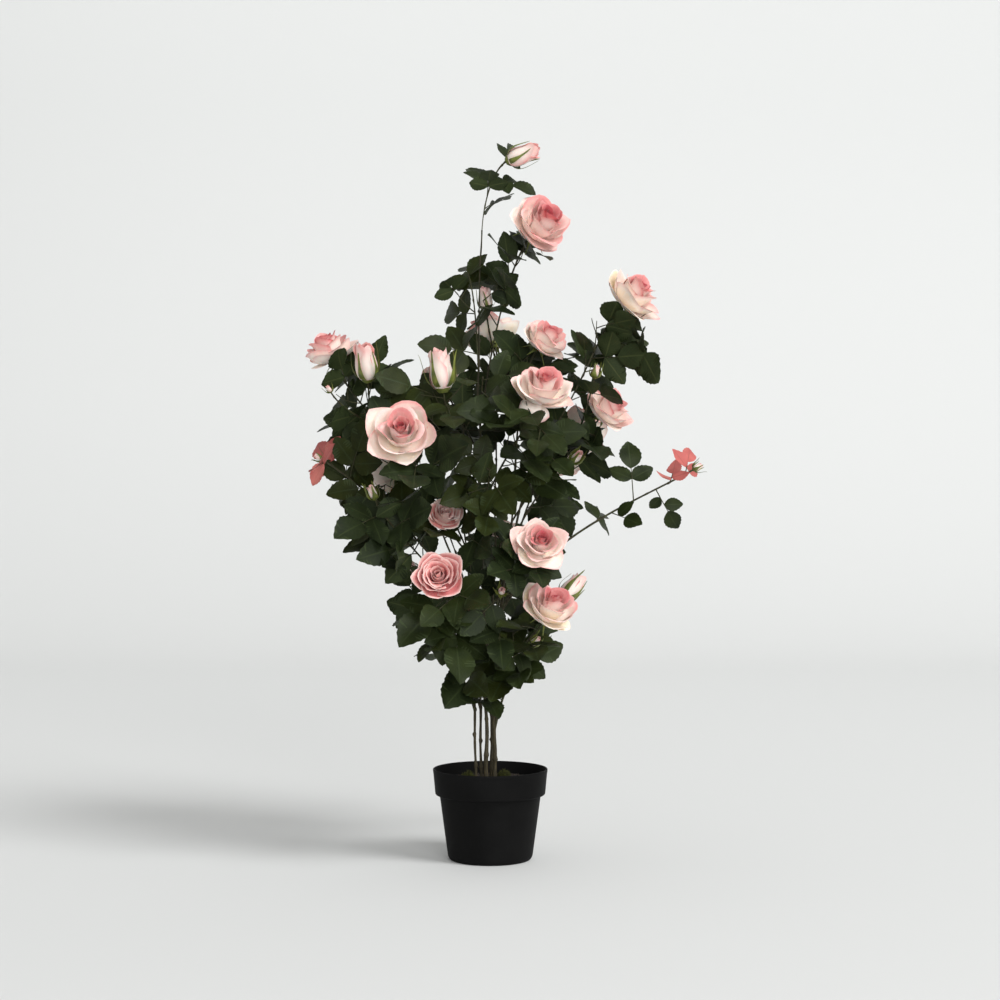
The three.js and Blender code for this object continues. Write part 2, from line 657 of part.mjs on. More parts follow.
// Deals out the compound leaves of one stem. A leaflet that would leave the spray's space or touch
// anything is skipped. Where that is the end leaflet, the whole leaf is.
const LEAF_TAPER = 0.22; // the last leaf of a stem is smaller by this much
const FIVE_SHARE = 0.4; // share of leaves with five leaflets; the others have three
const SMALL_BUD = 20; // leaves stand right under a bud up to this length
function growLeaves(spray, stem, next) {
  const isFree = (points) =>
    (spray.isShoot || inCrown(points)) &&
    clearOfLimbs(points, spray.name) &&
    inOwnSpace(points, spray) &&
    clearOfLeaves(points) &&
    clearOfBlooms(points);
  const grown = [];
  const first = stem.from + 0.12 * (1 - stem.from);
  const last = stem.bloom?.size > SMALL_BUD ? 0.86 : 0.97;
  for (let i = 0; i < stem.leaves; i++) {
    const share = first + ((last - first) * (i + 0.3 * next())) / Math.max(1, stem.leaves - 0.7);
    const turn = GOLDEN_TURN * i + spray.seed + 0.7 * (next() - 0.5);
    const pairs = next() < FIVE_SHARE ? 2 : 1;
    const width = i >= stem.leaves - stem.young ? YOUNG_WIDTH : 1;
    const size = stem.leaflet * (1 - (LEAF_TAPER * i) / stem.leaves);
    const leaf = compoundLeaf(stem.curve, Math.min(share, 0.98), turn, size, width, pairs, spray.look, next);
    const stalk = [0.35, 0.7, 1].map((part) => along(leaf.foot, leaf.axis, part * leaf.reach));
    if (!clearOfLimbs(stalk, spray.name) || !clearOfBlooms(stalk)) continue;
    const kept = [];
    for (const leaflet of leaf.leaflets) {
      const points = leafSamples(leaflet);
      if (isFree(points)) {
        kept.push(leaflet);
        leafPointsSoFar.push(...points);
      } else if (!kept.length) break;
    }
    if (kept.length) grown.push({ ...leaf, leaflets: kept });
  }
  return grown;
}

// ---------- putting the solids together ----------
const bush = new THREE.Group();
function addNode(name, solid, material) {
  const { vertProperties, triVerts, numProp } = solid.getMesh();
  const spots = new Float32Array((vertProperties.length / numProp) * 3);
  for (let i = 0; i < spots.length / 3; i++) {
    spots.set(vertProperties.subarray(i * numProp, i * numProp + 3), i * 3);
  }
  const geometry = new THREE.BufferGeometry()
    .setAttribute("position", new THREE.BufferAttribute(spots, 3))
    .setIndex(new THREE.BufferAttribute(triVerts, 1));
  geometry.computeVertexNormals();
  const mesh = new THREE.Mesh(geometry, material);
  mesh.name = name;
  bush.add(mesh);
}

// Solids that a new leaf mustn't touch, each with the name of its owner.
const placed = [];
const place = (owner, solid) => placed.push({ owner, solid, box: solid.boundingBox() });

function meets(solid, { solid: other, box: its }) {
  const box = solid.boundingBox();
  const apart = [0, 1, 2].some((k) => box.min[k] > its.max[k] || box.max[k] < its.min[k]);
  return !apart && solid.intersect(other).volume() > 0;
}

addNode("pot", potSolid(), POT_PLASTIC);
addNode("filler", fillerSolid(), FILLER_CRUMB);
for (const [name, tuft] of Object.entries(MOSS_TUFTS)) addNode(name, mossSolid(tuft), MOSS);

const caneSolid = (name, grown = 0) => limbSolid(canes[name], 0, 1, CANE_SIDES, CANE_STEPS, grown);
for (const name of Object.keys(canes)) {
  place(null, caneSolid(name));
  addNode("cane_" + name, caneSolid(name), CANE_BARK);
}

const boughSolid = ({ limb, bough }, grown = 0) => limbSolid(limb, 0, bough, BOUGH_SIDES, BOUGH_STEPS, grown);
for (const spray of sprays.filter(({ bough }) => bough > 0)) {
  const solid = largestBody(boughSolid(spray).subtract(caneSolid(spray.cane, GAP)));
  place(null, solid);
  addNode("bough_" + spray.name, solid, CANE_BARK);
}

// A spray's stem starts clear of the limb that carries it.
for (const spray of sprays) {
  const [main, ...twigs] = spray.stems;
  const carrier = spray.bough ? boughSolid(spray, GAP) : caneSolid(spray.cane, GAP);
  const stem = limbSolid(main, main.from, 1, STEM_SIDES, STEM_STEPS);
  spray.solid = largestBody(stem.subtract(carrier));
  for (const twig of twigs) spray.solid = spray.solid.add(limbSolid(twig, 0, 1, TWIG_SIDES, 3));
  for (const { bloom } of spray.stems.filter((each) => each.bloom)) {
    spray.solid = spray.solid.add(bloomSolid(bloom));
  }
  place(spray.name, spray.solid);
}

for (const spray of sprays) {
  const next = seededNumbers(spray.seed);
  for (const leaf of spray.stems.flatMap((stem) => growLeaves(spray, stem, next))) {
    const [end, ...pairs] = leaf.leaflets;
    const stalked = stalkedLeafSolid(leaf, end);
    const endBlade = leafSolid(end);
    const isBlocked = placed.some((each) => meets(each.owner === spray.name ? endBlade : stalked, each));
    if (isBlocked) continue;
    const free = pairs.map(leafSolid).filter((blade) => !placed.some((each) => meets(blade, each)));
    const sprig = free.reduce((whole, blade) => whole.add(blade), stalked);
    place(spray.name, sprig);
    spray.solid = spray.solid.add(sprig);
  }
  addNode(spray.name + "_foliage", largestBody(spray.solid), FOLIAGE);
}

export default bush;
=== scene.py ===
import math

import bpy
import numpy as np
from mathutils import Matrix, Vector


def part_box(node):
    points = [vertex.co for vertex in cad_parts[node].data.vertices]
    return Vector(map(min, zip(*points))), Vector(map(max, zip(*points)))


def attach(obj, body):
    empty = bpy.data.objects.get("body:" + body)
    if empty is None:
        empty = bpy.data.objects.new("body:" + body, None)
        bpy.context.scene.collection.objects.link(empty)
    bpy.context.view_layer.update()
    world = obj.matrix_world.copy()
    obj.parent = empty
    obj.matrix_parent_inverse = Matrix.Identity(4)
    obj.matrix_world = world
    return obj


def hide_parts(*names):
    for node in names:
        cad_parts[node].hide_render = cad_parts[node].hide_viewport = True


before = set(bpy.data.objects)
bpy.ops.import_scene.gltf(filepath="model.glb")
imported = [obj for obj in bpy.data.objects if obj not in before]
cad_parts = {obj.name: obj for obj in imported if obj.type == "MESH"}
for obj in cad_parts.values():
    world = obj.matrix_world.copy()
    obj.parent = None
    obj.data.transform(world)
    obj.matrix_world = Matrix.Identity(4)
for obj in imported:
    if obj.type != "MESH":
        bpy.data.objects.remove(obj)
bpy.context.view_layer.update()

# ---------- camera ----------
# The bush is seen level with its middle, from 2.8 m in front of the pot.
camera_data = bpy.data.cameras.new("camera")
camera_data.sensor_width = 36.0
camera_data.lens = 69.5
camera = bpy.data.objects.new("camera", camera_data)
camera.location = (0.014, -2.78, 0.5164)
camera.rotation_euler = (math.radians(90), 0, 0)
bpy.context.scene.collection.objects.link(camera)
bpy.context.scene.camera = camera
bpy.context.scene.view_settings.view_transform = "Standard"

# ---------- studio sweep and lights ----------
# A pale paper sweep runs back from the floor and curves up into a wall behind the bush. One large soft
# lamp stands high at the front right, a smaller one fills in from the front and a faint one lights the
# wall. The room itself glows evenly.
MM = 0.001


def put_mesh(name, points, quads, tris=()):
    """A mesh object from whole arrays: points in metres, and faces as rows of corner numbers."""
    quads = np.asarray(quads, np.int32).reshape(-1, 4)
    tris = np.asarray(tris, np.int32).reshape(-1, 3)
    corners = np.concatenate([quads.ravel(), tris.ravel()])
    sizes = np.concatenate([np.full(len(quads), 4), np.full(len(tris), 3)])
    mesh = bpy.data.meshes.new(name)
    mesh.vertices.add(len(points))
    mesh.vertices.foreach_set("co", np.asarray(points, np.float32).ravel())
    mesh.loops.add(len(corners))
    mesh.loops.foreach_set("vertex_index", corners)
    mesh.polygons.add(len(sizes))
    mesh.polygons.foreach_set("loop_start", (np.cumsum(sizes) - sizes).astype(np.int32))
    mesh.polygons.foreach_set("use_smooth", np.ones(len(sizes), bool))
    mesh.update(calc_edges=True)
    mesh.validate()
    piece = bpy.data.objects.new(name, mesh)
    bpy.context.scene.collection.objects.link(piece)
    return piece


def grid_quads(corner):
    """Faces of a grid of corner numbers, as rows of four corners."""
    return np.stack([corner[:-1, :-1], corner[1:, :-1], corner[1:, 1:], corner[:-1, 1:]], -1).reshape(-1, 4)


def new_finish(name, roughness, color, specular=0.5):
    """A material with its shader, and short ways to add nodes and to join them. color is its plain tone."""
    material = bpy.data.materials.new(name)
    material.use_nodes = True
    tree = material.node_tree
    shader = tree.nodes["Principled BSDF"]
    shader.inputs["Roughness"].default_value = roughness
    shader.inputs["Specular IOR Level"].default_value = specular
    shader.inputs["Base Color"].default_value = (*color, 1)

    def add(kind, **values):
        node = tree.nodes.new("ShaderNode" + kind)
        for key, value in values.items():
            if hasattr(node, key) and key not in node.inputs:
                setattr(node, key, value)
            else:
                node.inputs[key].default_value = value
        return node

    return material, shader, add, tree.links.new


def tone_steps(add, steps):
    """A colour ramp through two or more steps of place and colour."""
    tone = add("ValToRGB")
    ramp = tone.color_ramp.elements
    for end, (place, color) in ((0, steps[0]), (1, steps[-1])):
        ramp[end].position, ramp[end].color = place, (*color, 1)
    for place, color in steps[1:-1]:
        ramp.new(place).color = (*color, 1)
    return tone


SWEEP_HALF_WIDTH = 6.0
SWEEP_FRONT = -5.0
SWEEP_TOP = 6.5
SWEEP_BEND_START = 3.2
SWEEP_BEND = 2.2
bend_turn = np.linspace(0, math.pi / 2, 25)
bend_y = SWEEP_BEND_START + SWEEP_BEND * np.sin(bend_turn)
sweep_y = np.concatenate([[SWEEP_FRONT], bend_y, [SWEEP_BEND_START + SWEEP_BEND]])
sweep_z = np.concatenate([[0.0], SWEEP_BEND * (1 - np.cos(bend_turn)), [SWEEP_TOP]])
sweep_x = np.array([[-SWEEP_HALF_WIDTH], [SWEEP_HALF_WIDTH]])
sweep_points = np.stack(np.broadcast_arrays(sweep_x, sweep_y, sweep_z), -1)
sweep_faces = grid_quads(np.arange(2 * len(sweep_y)).reshape(2, -1))
sweep = put_mesh("paper_sweep", sweep_points.reshape(-1, 3), sweep_faces)
paper, shader, add, join = new_finish("sweep_paper", 0.9, (0.7, 0.705, 0.695))
grain = add("TexNoise", Scale=0.6, Detail=2)
tone = tone_steps(add, [(0.0, (0.69, 0.7, 0.695)), (1.0, (0.71, 0.72, 0.715))])
join(grain.outputs["Fac"], tone.inputs["Fac"])
join(tone.outputs["Color"], shader.inputs["Base Color"])
sweep.data.materials.append(paper)

room = bpy.data.worlds.new("room")
room.use_nodes = True
room.node_tree.nodes["Background"].inputs["Color"].default_value = (1.0, 0.995, 0.98, 1)
room.node_tree.nodes["Background"].inputs["Strength"].default_value = 0.48
bpy.context.scene.world = room


def soft_lamp(name, place, target, size, power):
    """A square lamp that looks at a target."""
    data = bpy.data.lights.new(name, "AREA")
    data.size = size
    data.energy = power
    lamp = bpy.data.objects.new(name, data)
    place, target = np.array(place), np.array(target)
    ahead = (place - target) / np.linalg.norm(place - target)
    lamp.location = place
    lamp.rotation_euler = (math.acos(ahead[2]), 0, math.atan2(ahead[0], -ahead[1]))
    bpy.context.scene.collection.objects.link(lamp)


soft_lamp("key_lamp", (8.1, -6.3, 9.9), (0, 0.1, 0.4), size=5.4, power=1350)
soft_lamp("front_lamp", (2.3, -8.8, 2.2), (0, 0.1, 0.55), size=3.6, power=390)
soft_lamp("wall_lamp", (-1.5, 1.8, 4.6), (-0.9, 5.4, 3.0), size=3.0, power=27)

# ---------- pot ----------
# A black nursery pot, injection moulded in one piece: a thin tapered wall with a deep rim band
# that is a step wider, a rounded lip, and a foot ring under the base. It stands on that ring.
POT_HEIGHT = 130
POT_RIM_RADIUS = 82.5
POT_BAND_FOOT_RADIUS = 79
POT_BAND_FOOT = 93
POT_NECK_RADIUS = 73
POT_BASE_RADIUS = 60.5
POT_WALL = 2.2
POT_BASE_LIFT = 1.2  # the base is this much higher inside its foot ring
POT_RING = 9  # width of the foot ring, with its rounded outer edge
POT_EDGE_CUT = 3.2
POT_SIDES = 144


def rounded(points, cut, steps=4):
    """A profile with each inner corner cut off and replaced by a short quadratic curve."""
    points = [np.array(point, float) for point in points]
    smooth = [points[0]]
    share = np.linspace(0, 1, steps + 1)[:, None]
    for before, corner, after in zip(points, points[1:], points[2:]):
        back, ahead = before - corner, after - corner
        reach = min(cut, 0.45 * np.linalg.norm(back), 0.45 * np.linalg.norm(ahead))
        start = corner + back / np.linalg.norm(back) * reach
        end = corner + ahead / np.linalg.norm(ahead) * reach
        smooth.extend((1 - share) ** 2 * start + 2 * share * (1 - share) * corner + share**2 * end)
    return np.array(smooth + [points[-1]])


def spun(profile, sides, relief=None):
    """A profile turned round the upright axis: radius and height of each row, round by equal steps.
    Its first and last points lie on the axis and become poles. relief is added to the heights."""
    turn = np.arange(sides) * 2 * np.pi / sides
    radius, height = profile[1:-1, 0, None], profile[1:-1, 1, None]
    rise = height + (0 if relief is None else relief)
    rings = np.stack([radius * np.cos(turn), radius * np.sin(turn), rise + 0 * turn], -1)
    poles = [[0, 0, profile[0, 1]], [0, 0, profile[-1, 1]]]
    return np.concatenate([rings.reshape(-1, 3), poles]), *ring_faces(len(profile) - 2, sides)


def ring_faces(rings, sides):
    """Faces of a row of rings, closed round, with a pole before the first and after the last."""
    corner = np.arange(rings * sides).reshape(rings, sides)
    beside = np.roll(corner, -1, 1)
    quads = np.stack([corner[:-1], beside[:-1], beside[1:], corner[1:]], -1).reshape(-1, 4)
    first, last = rings * sides, rings * sides + 1
    caps = [
        np.stack([beside[0], corner[0], np.full(sides, first)], -1),
        np.stack([corner[-1], beside[-1], np.full(sides, last)], -1),
    ]
    return quads, np.concatenate(caps)


band_slope = (POT_RIM_RADIUS - POT_BAND_FOOT_RADIUS) / (POT_HEIGHT - POT_BAND_FOOT)
pot_outline = [
    (0, POT_BASE_LIFT),
    (POT_BASE_RADIUS - POT_RING - 3, POT_BASE_LIFT),
    (POT_BASE_RADIUS - POT_RING, 0),
    (POT_BASE_RADIUS - 2.5, 0),
    (POT_BASE_RADIUS + 0.5, 5),
    (POT_NECK_RADIUS, POT_BAND_FOOT + 1),
    (POT_BAND_FOOT_RADIUS, POT_BAND_FOOT - 0.2),
    (POT_BAND_FOOT_RADIUS + band_slope * 30, POT_BAND_FOOT + 30),
    (POT_RIM_RADIUS, POT_HEIGHT - 3),
    (POT_RIM_RADIUS, POT_HEIGHT),
    (POT_RIM_RADIUS - POT_WALL, POT_HEIGHT),
    (POT_BAND_FOOT_RADIUS - POT_WALL, POT_BAND_FOOT + 4),
    (POT_NECK_RADIUS - POT_WALL, POT_BAND_FOOT),
    (POT_BASE_RADIUS - POT_WALL, POT_WALL),
    (0, POT_WALL),
]
pot_points, pot_quads, pot_tris = spun(rounded(pot_outline, POT_EDGE_CUT), POT_SIDES)
moulded_pot = put_mesh("moulded_pot", pot_points * MM, pot_quads, pot_tris)
pot_plastic, shader, add, join = new_finish("pot_plastic", 0.6, (0.006, 0.006, 0.006), 0.07)
spot = add("TexCoord")
fine_grain = add("TexNoise", Scale=1400, Detail=3)
cloud = add("TexNoise", Scale=14, Detail=4)
tone = tone_steps(add, [(0.35, (0.0032, 0.0032, 0.0032)), (0.75, (0.006, 0.006, 0.006))])
gloss = add("MapRange", **{"To Min": 0.55, "To Max": 0.72})
bump = add("Bump", Strength=0.12, Distance=0.0004)
for texture in (fine_grain, cloud):
    join(spot.outputs["Object"], texture.inputs["Vector"])
join(cloud.outputs["Fac"], tone.inputs["Fac"])
join(cloud.outputs["Fac"], gloss.inputs["Value"])
join(tone.outputs["Color"], shader.inputs["Base Color"])
join(gloss.outputs["Result"], shader.inputs["Roughness"])
join(fine_grain.outputs["Fac"], bump.inputs["Height"])
join(bump.outputs["Normal"], shader.inputs["Normal"])
moulded_pot.data.materials.append(pot_plastic)
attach(moulded_pot, "root")
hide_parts("pot")

# ---------- filler ----------
# A cast plug fills the pot and holds the canes. Dark crumbs are glued over its top,
# a finger's width under the rim.
FILLER_TOP = 112
FILLER_SINK = 1.0  # the uneven top lies this much lower on average
FILLER_GAP = 0.9  # between the plug and the wall at the top
FILLER_WAVES = [(47, 0.8), (31, 0.7), (17, 0.5), (9, 0.35), (6.5, 0.3)]  # length and height of each
FILLER_SIDES = 96
CRUMB_COUNT = 1500
CRUMB_SIZES = (0.9, 2.6)


def noisy(points, waves, rng):
    """A smooth random height over points in plan: a sum of sine waves of random turn and phase."""
    total = 0
    for size, depth in waves:
        turn, phase = rng.uniform(0, 2 * np.pi, 2)
        across = points[..., 0] * np.cos(turn) + points[..., 1] * np.sin(turn)
        total = total + depth * np.sin(across * 2 * np.pi / size + phase)
    return total


def mottled_finish(name, roughness, specular, grain, steps, relief=None):
    """A finish from one noise of a scale and detail: it picks the tone and, with relief, a strength and a
    depth, raises the surface."""
    material, shader, add, join = new_finish(name, roughness, steps[-1][1], specular)
    spot = add("TexCoord")
    mottle = add("TexNoise", Scale=grain[0], Detail=grain[1])
    tone = tone_steps(add, steps)
    join(spot.outputs["Object"], mottle.inputs["Vector"])
    join(mottle.outputs["Fac"], tone.inputs["Fac"])
    join(tone.outputs["Color"], shader.inputs["Base Color"])
    if relief:
        bump = add("Bump", Strength=relief[0], Distance=relief[1])
        join(mottle.outputs["Fac"], bump.inputs["Height"])
        join(bump.outputs["Normal"], shader.inputs["Normal"])
    return material


filler_rng = np.random.default_rng(7)
filler_edge = POT_BAND_FOOT_RADIUS + band_slope * (FILLER_TOP - POT_BAND_FOOT) - POT_WALL - FILLER_GAP
top_rings = np.linspace(filler_edge, 3, 34)
filler_profile = np.array(
    [
        (0, POT_WALL + 0.3),
        (POT_BASE_RADIUS - POT_WALL - 0.6, POT_WALL + 0.3),
        (POT_NECK_RADIUS - POT_WALL - 0.6, POT_BAND_FOOT + 0.3),
        (POT_BAND_FOOT_RADIUS - POT_WALL - FILLER_GAP, POT_BAND_FOOT + 5),
        *[(radius, FILLER_TOP) for radius in top_rings],
        (0, FILLER_TOP),
    ]
)
turn = np.arange(FILLER_SIDES) * 2 * np.pi / FILLER_SIDES
top_plan = top_rings[:, None, None] * np.stack([np.cos(turn), np.sin(turn)], -1)
top_relief = noisy(top_plan, FILLER_WAVES, filler_rng) - FILLER_SINK
filler_relief = np.concatenate([np.zeros((3, FILLER_SIDES)), top_relief])
plug_points, plug_quads, plug_tris = spun(filler_profile, FILLER_SIDES, filler_relief)
plug_points[-1, 2] = FILLER_TOP - FILLER_SINK

# Each crumb is a lumpy ball of six corners: two poles and a ring of four, each moved a little.
crumb_reach = (filler_edge - 4) * np.sqrt(filler_rng.uniform(0, 1, CRUMB_COUNT))
crumb_turn = filler_rng.uniform(0, 2 * np.pi, CRUMB_COUNT)
crumb_size = filler_rng.uniform(*CRUMB_SIZES, CRUMB_COUNT)
crumb_x, crumb_y = crumb_reach * np.cos(crumb_turn), crumb_reach * np.sin(crumb_turn)
crumb_middle = np.stack([crumb_x, crumb_y, FILLER_TOP - 0.9 + 0.5 * crumb_size], -1)
ball = np.array([(1, 0, 0), (0, 1, 0), (-1, 0, 0), (0, -1, 0), (0, 0, -0.8), (0, 0, 0.8)], float)
lumps = ball + filler_rng.uniform(-0.3, 0.3, (CRUMB_COUNT, 6, 3))
crumb_points = crumb_middle[:, None] + crumb_size[:, None, None] * lumps
crumb_tris = np.array(
    [(1, 0, 4), (2, 1, 4), (3, 2, 4), (0, 3, 4), (0, 1, 5), (1, 2, 5), (2, 3, 5), (3, 0, 5)]
)
crumb_tris = (crumb_tris + 6 * np.arange(CRUMB_COUNT)[:, None, None]).reshape(-1, 3)
filler_top = put_mesh(
    "crumbed_filler",
    np.concatenate([plug_points, crumb_points.reshape(-1, 3)]) * MM,
    plug_quads,
    np.concatenate([plug_tris, crumb_tris + len(plug_points)]),
)
CRUMB_TONES = [(0.35, (0.008, 0.006, 0.005)), (0.7, (0.045, 0.032, 0.022))]
filler_crumb = mottled_finish("filler_crumb", 0.95, 0.5, (160, 6), CRUMB_TONES, (0.6, 0.001))
filler_top.data.materials.append(filler_crumb)
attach(filler_top, "root")
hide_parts("filler")

# ---------- moss ----------
# Two tufts of dried moss are tucked in at the foot of the canes. Each is a mat of short
# curled fronds that lean outwards from its middle.

# The rows give middle, height and seed of each tuft.
MOSS_TUFTS = {"moss_left": (-31.82, -8, 17.5, 14), "moss_right": (19.78, -1, 18.75, 15)}
MOSS_RADIUS = 8.25
FROND_LEAN = 3.85
FROND_CURL = 1.6
FROND_COUNT = 420
FROND_RINGS = 5
FROND_SIDES = 3


def unit(ways):
    """Each way made one unit long."""
    ways = np.asarray(ways, float)
    return ways / np.linalg.norm(ways, axis=-1, keepdims=True)


def tubes(paths, radii, sides, across=None):
    """Closed tubes along many paths: at each path point, a ring of radius times cosine one way
    across the path and sine the other. radii may also differ round the ring. The ends are poles."""
    count, rings = paths.shape[:2]
    way = unit(np.gradient(paths, axis=1))
    if across is None:
        lean = np.where(np.abs(way.mean(1, keepdims=True)[..., 2:]) > 0.7, [1.0, 0, 0], [0, 0, 1.0])
        across = unit(np.cross(lean, way))
    other = np.cross(way, across)
    turn = np.arange(sides) * 2 * np.pi / sides
    radii = np.broadcast_to(radii[..., None] if radii.ndim == 2 else radii, (count, rings, sides))[..., None]
    ring = across[:, :, None] * np.cos(turn)[:, None] + other[:, :, None] * np.sin(turn)[:, None]
    body = (paths[:, :, None] + radii * ring).reshape(count, -1, 3)
    points = np.concatenate([body, paths[:, :1], paths[:, -1:] + 0.4 * way[:, -1:] * radii[:, -1, :1]], 1)
    quads, tris = ring_faces(rings, sides)
    offset = (points.shape[1] * np.arange(count))[:, None, None]
    return points.reshape(-1, 3), (quads + offset).reshape(-1, 4), (tris + offset).reshape(-1, 3)


MOSS_TONES = [(0.3, (0.012, 0.014, 0.004)), (0.7, (0.062, 0.066, 0.014))]
moss_fibre = mottled_finish("moss_fibre", 0.95, 0.2, (350, 3), MOSS_TONES)
for name, (moss_x, moss_y, moss_height, moss_seed) in MOSS_TUFTS.items():
    moss_rng = np.random.default_rng(moss_seed)
    outness = 0.85 * np.sqrt(moss_rng.uniform(0, 1, FROND_COUNT))
    turn = moss_rng.uniform(0, 2 * np.pi, FROND_COUNT)
    outward = np.stack([np.cos(turn), np.sin(turn), 0 * turn], -1)
    foot = outward * (outness * MOSS_RADIUS)[:, None] + [moss_x, moss_y, FILLER_TOP - 0.5]
    rise = moss_height * (1 - 0.6 * outness**2) * moss_rng.uniform(0.55, 1.0, FROND_COUNT)
    share = np.linspace(0, 1, FROND_RINGS)
    lean = (outness * FROND_LEAN)[:, None] * share**1.6
    curl = moss_rng.uniform(-FROND_CURL, FROND_CURL, (FROND_COUNT, 1, 3)) * (share**2)[:, None]
    climb = np.array([0, 0, 1.0]) * (rise[:, None] * share)[..., None]
    paths = foot[:, None] + outward[:, None] * lean[..., None] + curl + climb
    radii = np.broadcast_to(0.75 - 0.5 * share, (FROND_COUNT, FROND_RINGS))
    points, quads, tris = tubes(paths, radii, FROND_SIDES)
    tuft = put_mesh(name + "_tuft", points * MM, quads, tris)
    tuft.data.materials.append(moss_fibre)
    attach(tuft, "root")
    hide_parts(name)

# ---------- canes ----------
# Five steel wires cased in moulded plastic bark stand in the plug. The bark has long ridges,
# a swollen ring every few centimetres, and a bud scar on one side of each ring.

# The rows give foot, tip, the way that the tip points, and the radii of foot and tip.
CANES = {
    "left": ((-21, -4), (-88, -60, 545), (-0.4, -0.45, 0.8), (2.7, 1.7)),
    "mid_left": ((-13, 3), (-52, -22, 570), (-0.15, -0.2, 1), (2.8, 1.7)),
    "tall": ((-6, -6), (-12, 0, 905), (0.05, 0, 1), (3.3, 1.3)),
    "right": ((6, -3), (102, 5, 636), (0.5, 0, 0.85), (3.3, 1.8)),
    "back": ((1, 9), (8, 80, 600), (0, 0.35, 0.95), (3, 1.8)),
}
CANE_SIDES = 16
BARK_STEP = 2.4  # between rings of the bark
UP = np.array([0, 0, 1.0])
GAP = 0.3  # between a cane's foot and the plug
FLARE = 0.7
THINNER = {"left": 0.5, "mid_left": 0.45, "tall": 0.1, "right": 0.1, "back": 0.3}  # bark left off each core
CANE_WANDER = 1.1
NODE_GAPS = (26, 48)  # least and largest distance between swollen rings


def bezier(knots, share):
    """Points of the cubic curve that leaves its first knot for its second and comes from its third to
    its last."""
    t = np.asarray(share, float)[..., None]
    a, b, c, d = knots
    return (1 - t) ** 3 * a + 3 * (1 - t) ** 2 * t * b + 3 * (1 - t) * t**2 * c + t**3 * d


def bezier_way(knots, share):
    """The way that the curve runs: the unit derivative of bezier."""
    t = np.asarray(share, float)[..., None]
    a, b, c, d = knots
    return unit((1 - t) ** 2 * (b - a) + 2 * (1 - t) * t * (c - b) + t**2 * (d - c))


def cross_ways(knots, share):
    """The way along a curve and both side ways of its section, which turn with the curve and don't twist."""
    way = bezier_way(knots, share)
    start = bezier_way(knots, 0.0)
    bend = np.cross(start, bezier_way(knots, 1.0))
    if np.linalg.norm(bend) < 0.05:
        bend = np.cross(start, (0.6, 0.8, 0))
    across = unit(np.cross(bend, way))
    return way, across, unit(np.cross(across, way))


def cane_limb(foot, tip, heading, radius):
    """A cane's curve, and its radius at any share of it, with a flare at the foot."""
    start = np.array([foot[0], foot[1], FILLER_TOP + GAP])
    end = np.array(tip, float)
    rise = end[2] - start[2]
    knots = np.array([start, start + UP * 0.4 * rise, end - unit(heading) * 0.35 * rise, end])
    return knots, lambda share: radius[0] + (radius[1] - radius[0]) * share + FLARE * np.exp(-share / 0.04)


def bark_relief(distance, sides, rng, depth):
    """Height of the bark over its limb, a row for each ring: ridges that wander round it, and at each node
    a bell-shaped swelling and a sharper bell on one side."""
    turn = np.arange(sides) * 2 * np.pi / sides
    along = distance[:, None]
    relief = 0.13 * np.sin(3 * turn + 0.03 * along + rng.uniform(0, 6))
    relief = relief + 0.05 * np.sin(7 * turn - 0.06 * along)
    relief = relief - 0.4 + 0.14 * np.sin(along / 5.3 + rng.uniform(0, 6))
    relief = relief + 0.2 * np.sin(along / 31 + rng.uniform(0, 6))
    node, side = rng.uniform(12, 36), rng.uniform(0, 6)
    while node < distance[-1] - 4:
        bell = np.exp(-(((along - node) / 1.9) ** 2))
        relief = relief + 0.6 * bell + 1.7 * bell * np.exp(4 * (np.cos(turn - side) - 1))
        node, side = node + rng.uniform(*NODE_GAPS), side + 2.4
    return depth * relief


def bark_limb(name, knots, radius_at, first, last, sides, rng, depth=1.0, wander=0.0):
    """A limb between two shares of its curve, as a tube whose radius is the limb's plus the bark's relief.
    Its axis sways off the curve by sines of the distance, as deep as wander, and meets it at both ends."""
    fine = bezier(knots, np.linspace(first, last, 200))
    length = np.linalg.norm(np.diff(fine, axis=0), axis=1).sum()
    rings = max(6, int(length / BARK_STEP))
    share = np.linspace(first, last, rings)
    way, across, other = cross_ways(knots, share)
    along = np.linspace(0, length, rings)[:, None]
    sway = wander * np.minimum(along / 40, 1) * np.minimum((length - along) / 40, 1)
    sway_across = across * np.sin(along / 17 + rng.uniform(0, 6))
    sway_other = other * np.sin(along / 23 + rng.uniform(0, 6))
    paths = bezier(knots, share) + sway * (sway_across + sway_other)
    radii = radius_at(share)[:, None] + bark_relief(along[:, 0], sides, rng, depth)
    points, quads, tris = tubes(paths[None], radii[None], sides, across[None])
    return put_mesh(name, points * MM, quads, tris)


def figure(add, join, operation, *terms):
    """What a Math node works out: numbers are set in it, and other nodes' results are joined to it."""
    node = add("Math", operation=operation)
    for socket, term in zip(node.inputs, terms):
        if isinstance(term, (int, float)):
            socket.default_value = term
        else:
            join(term, socket)
    return node.outputs["Value"]


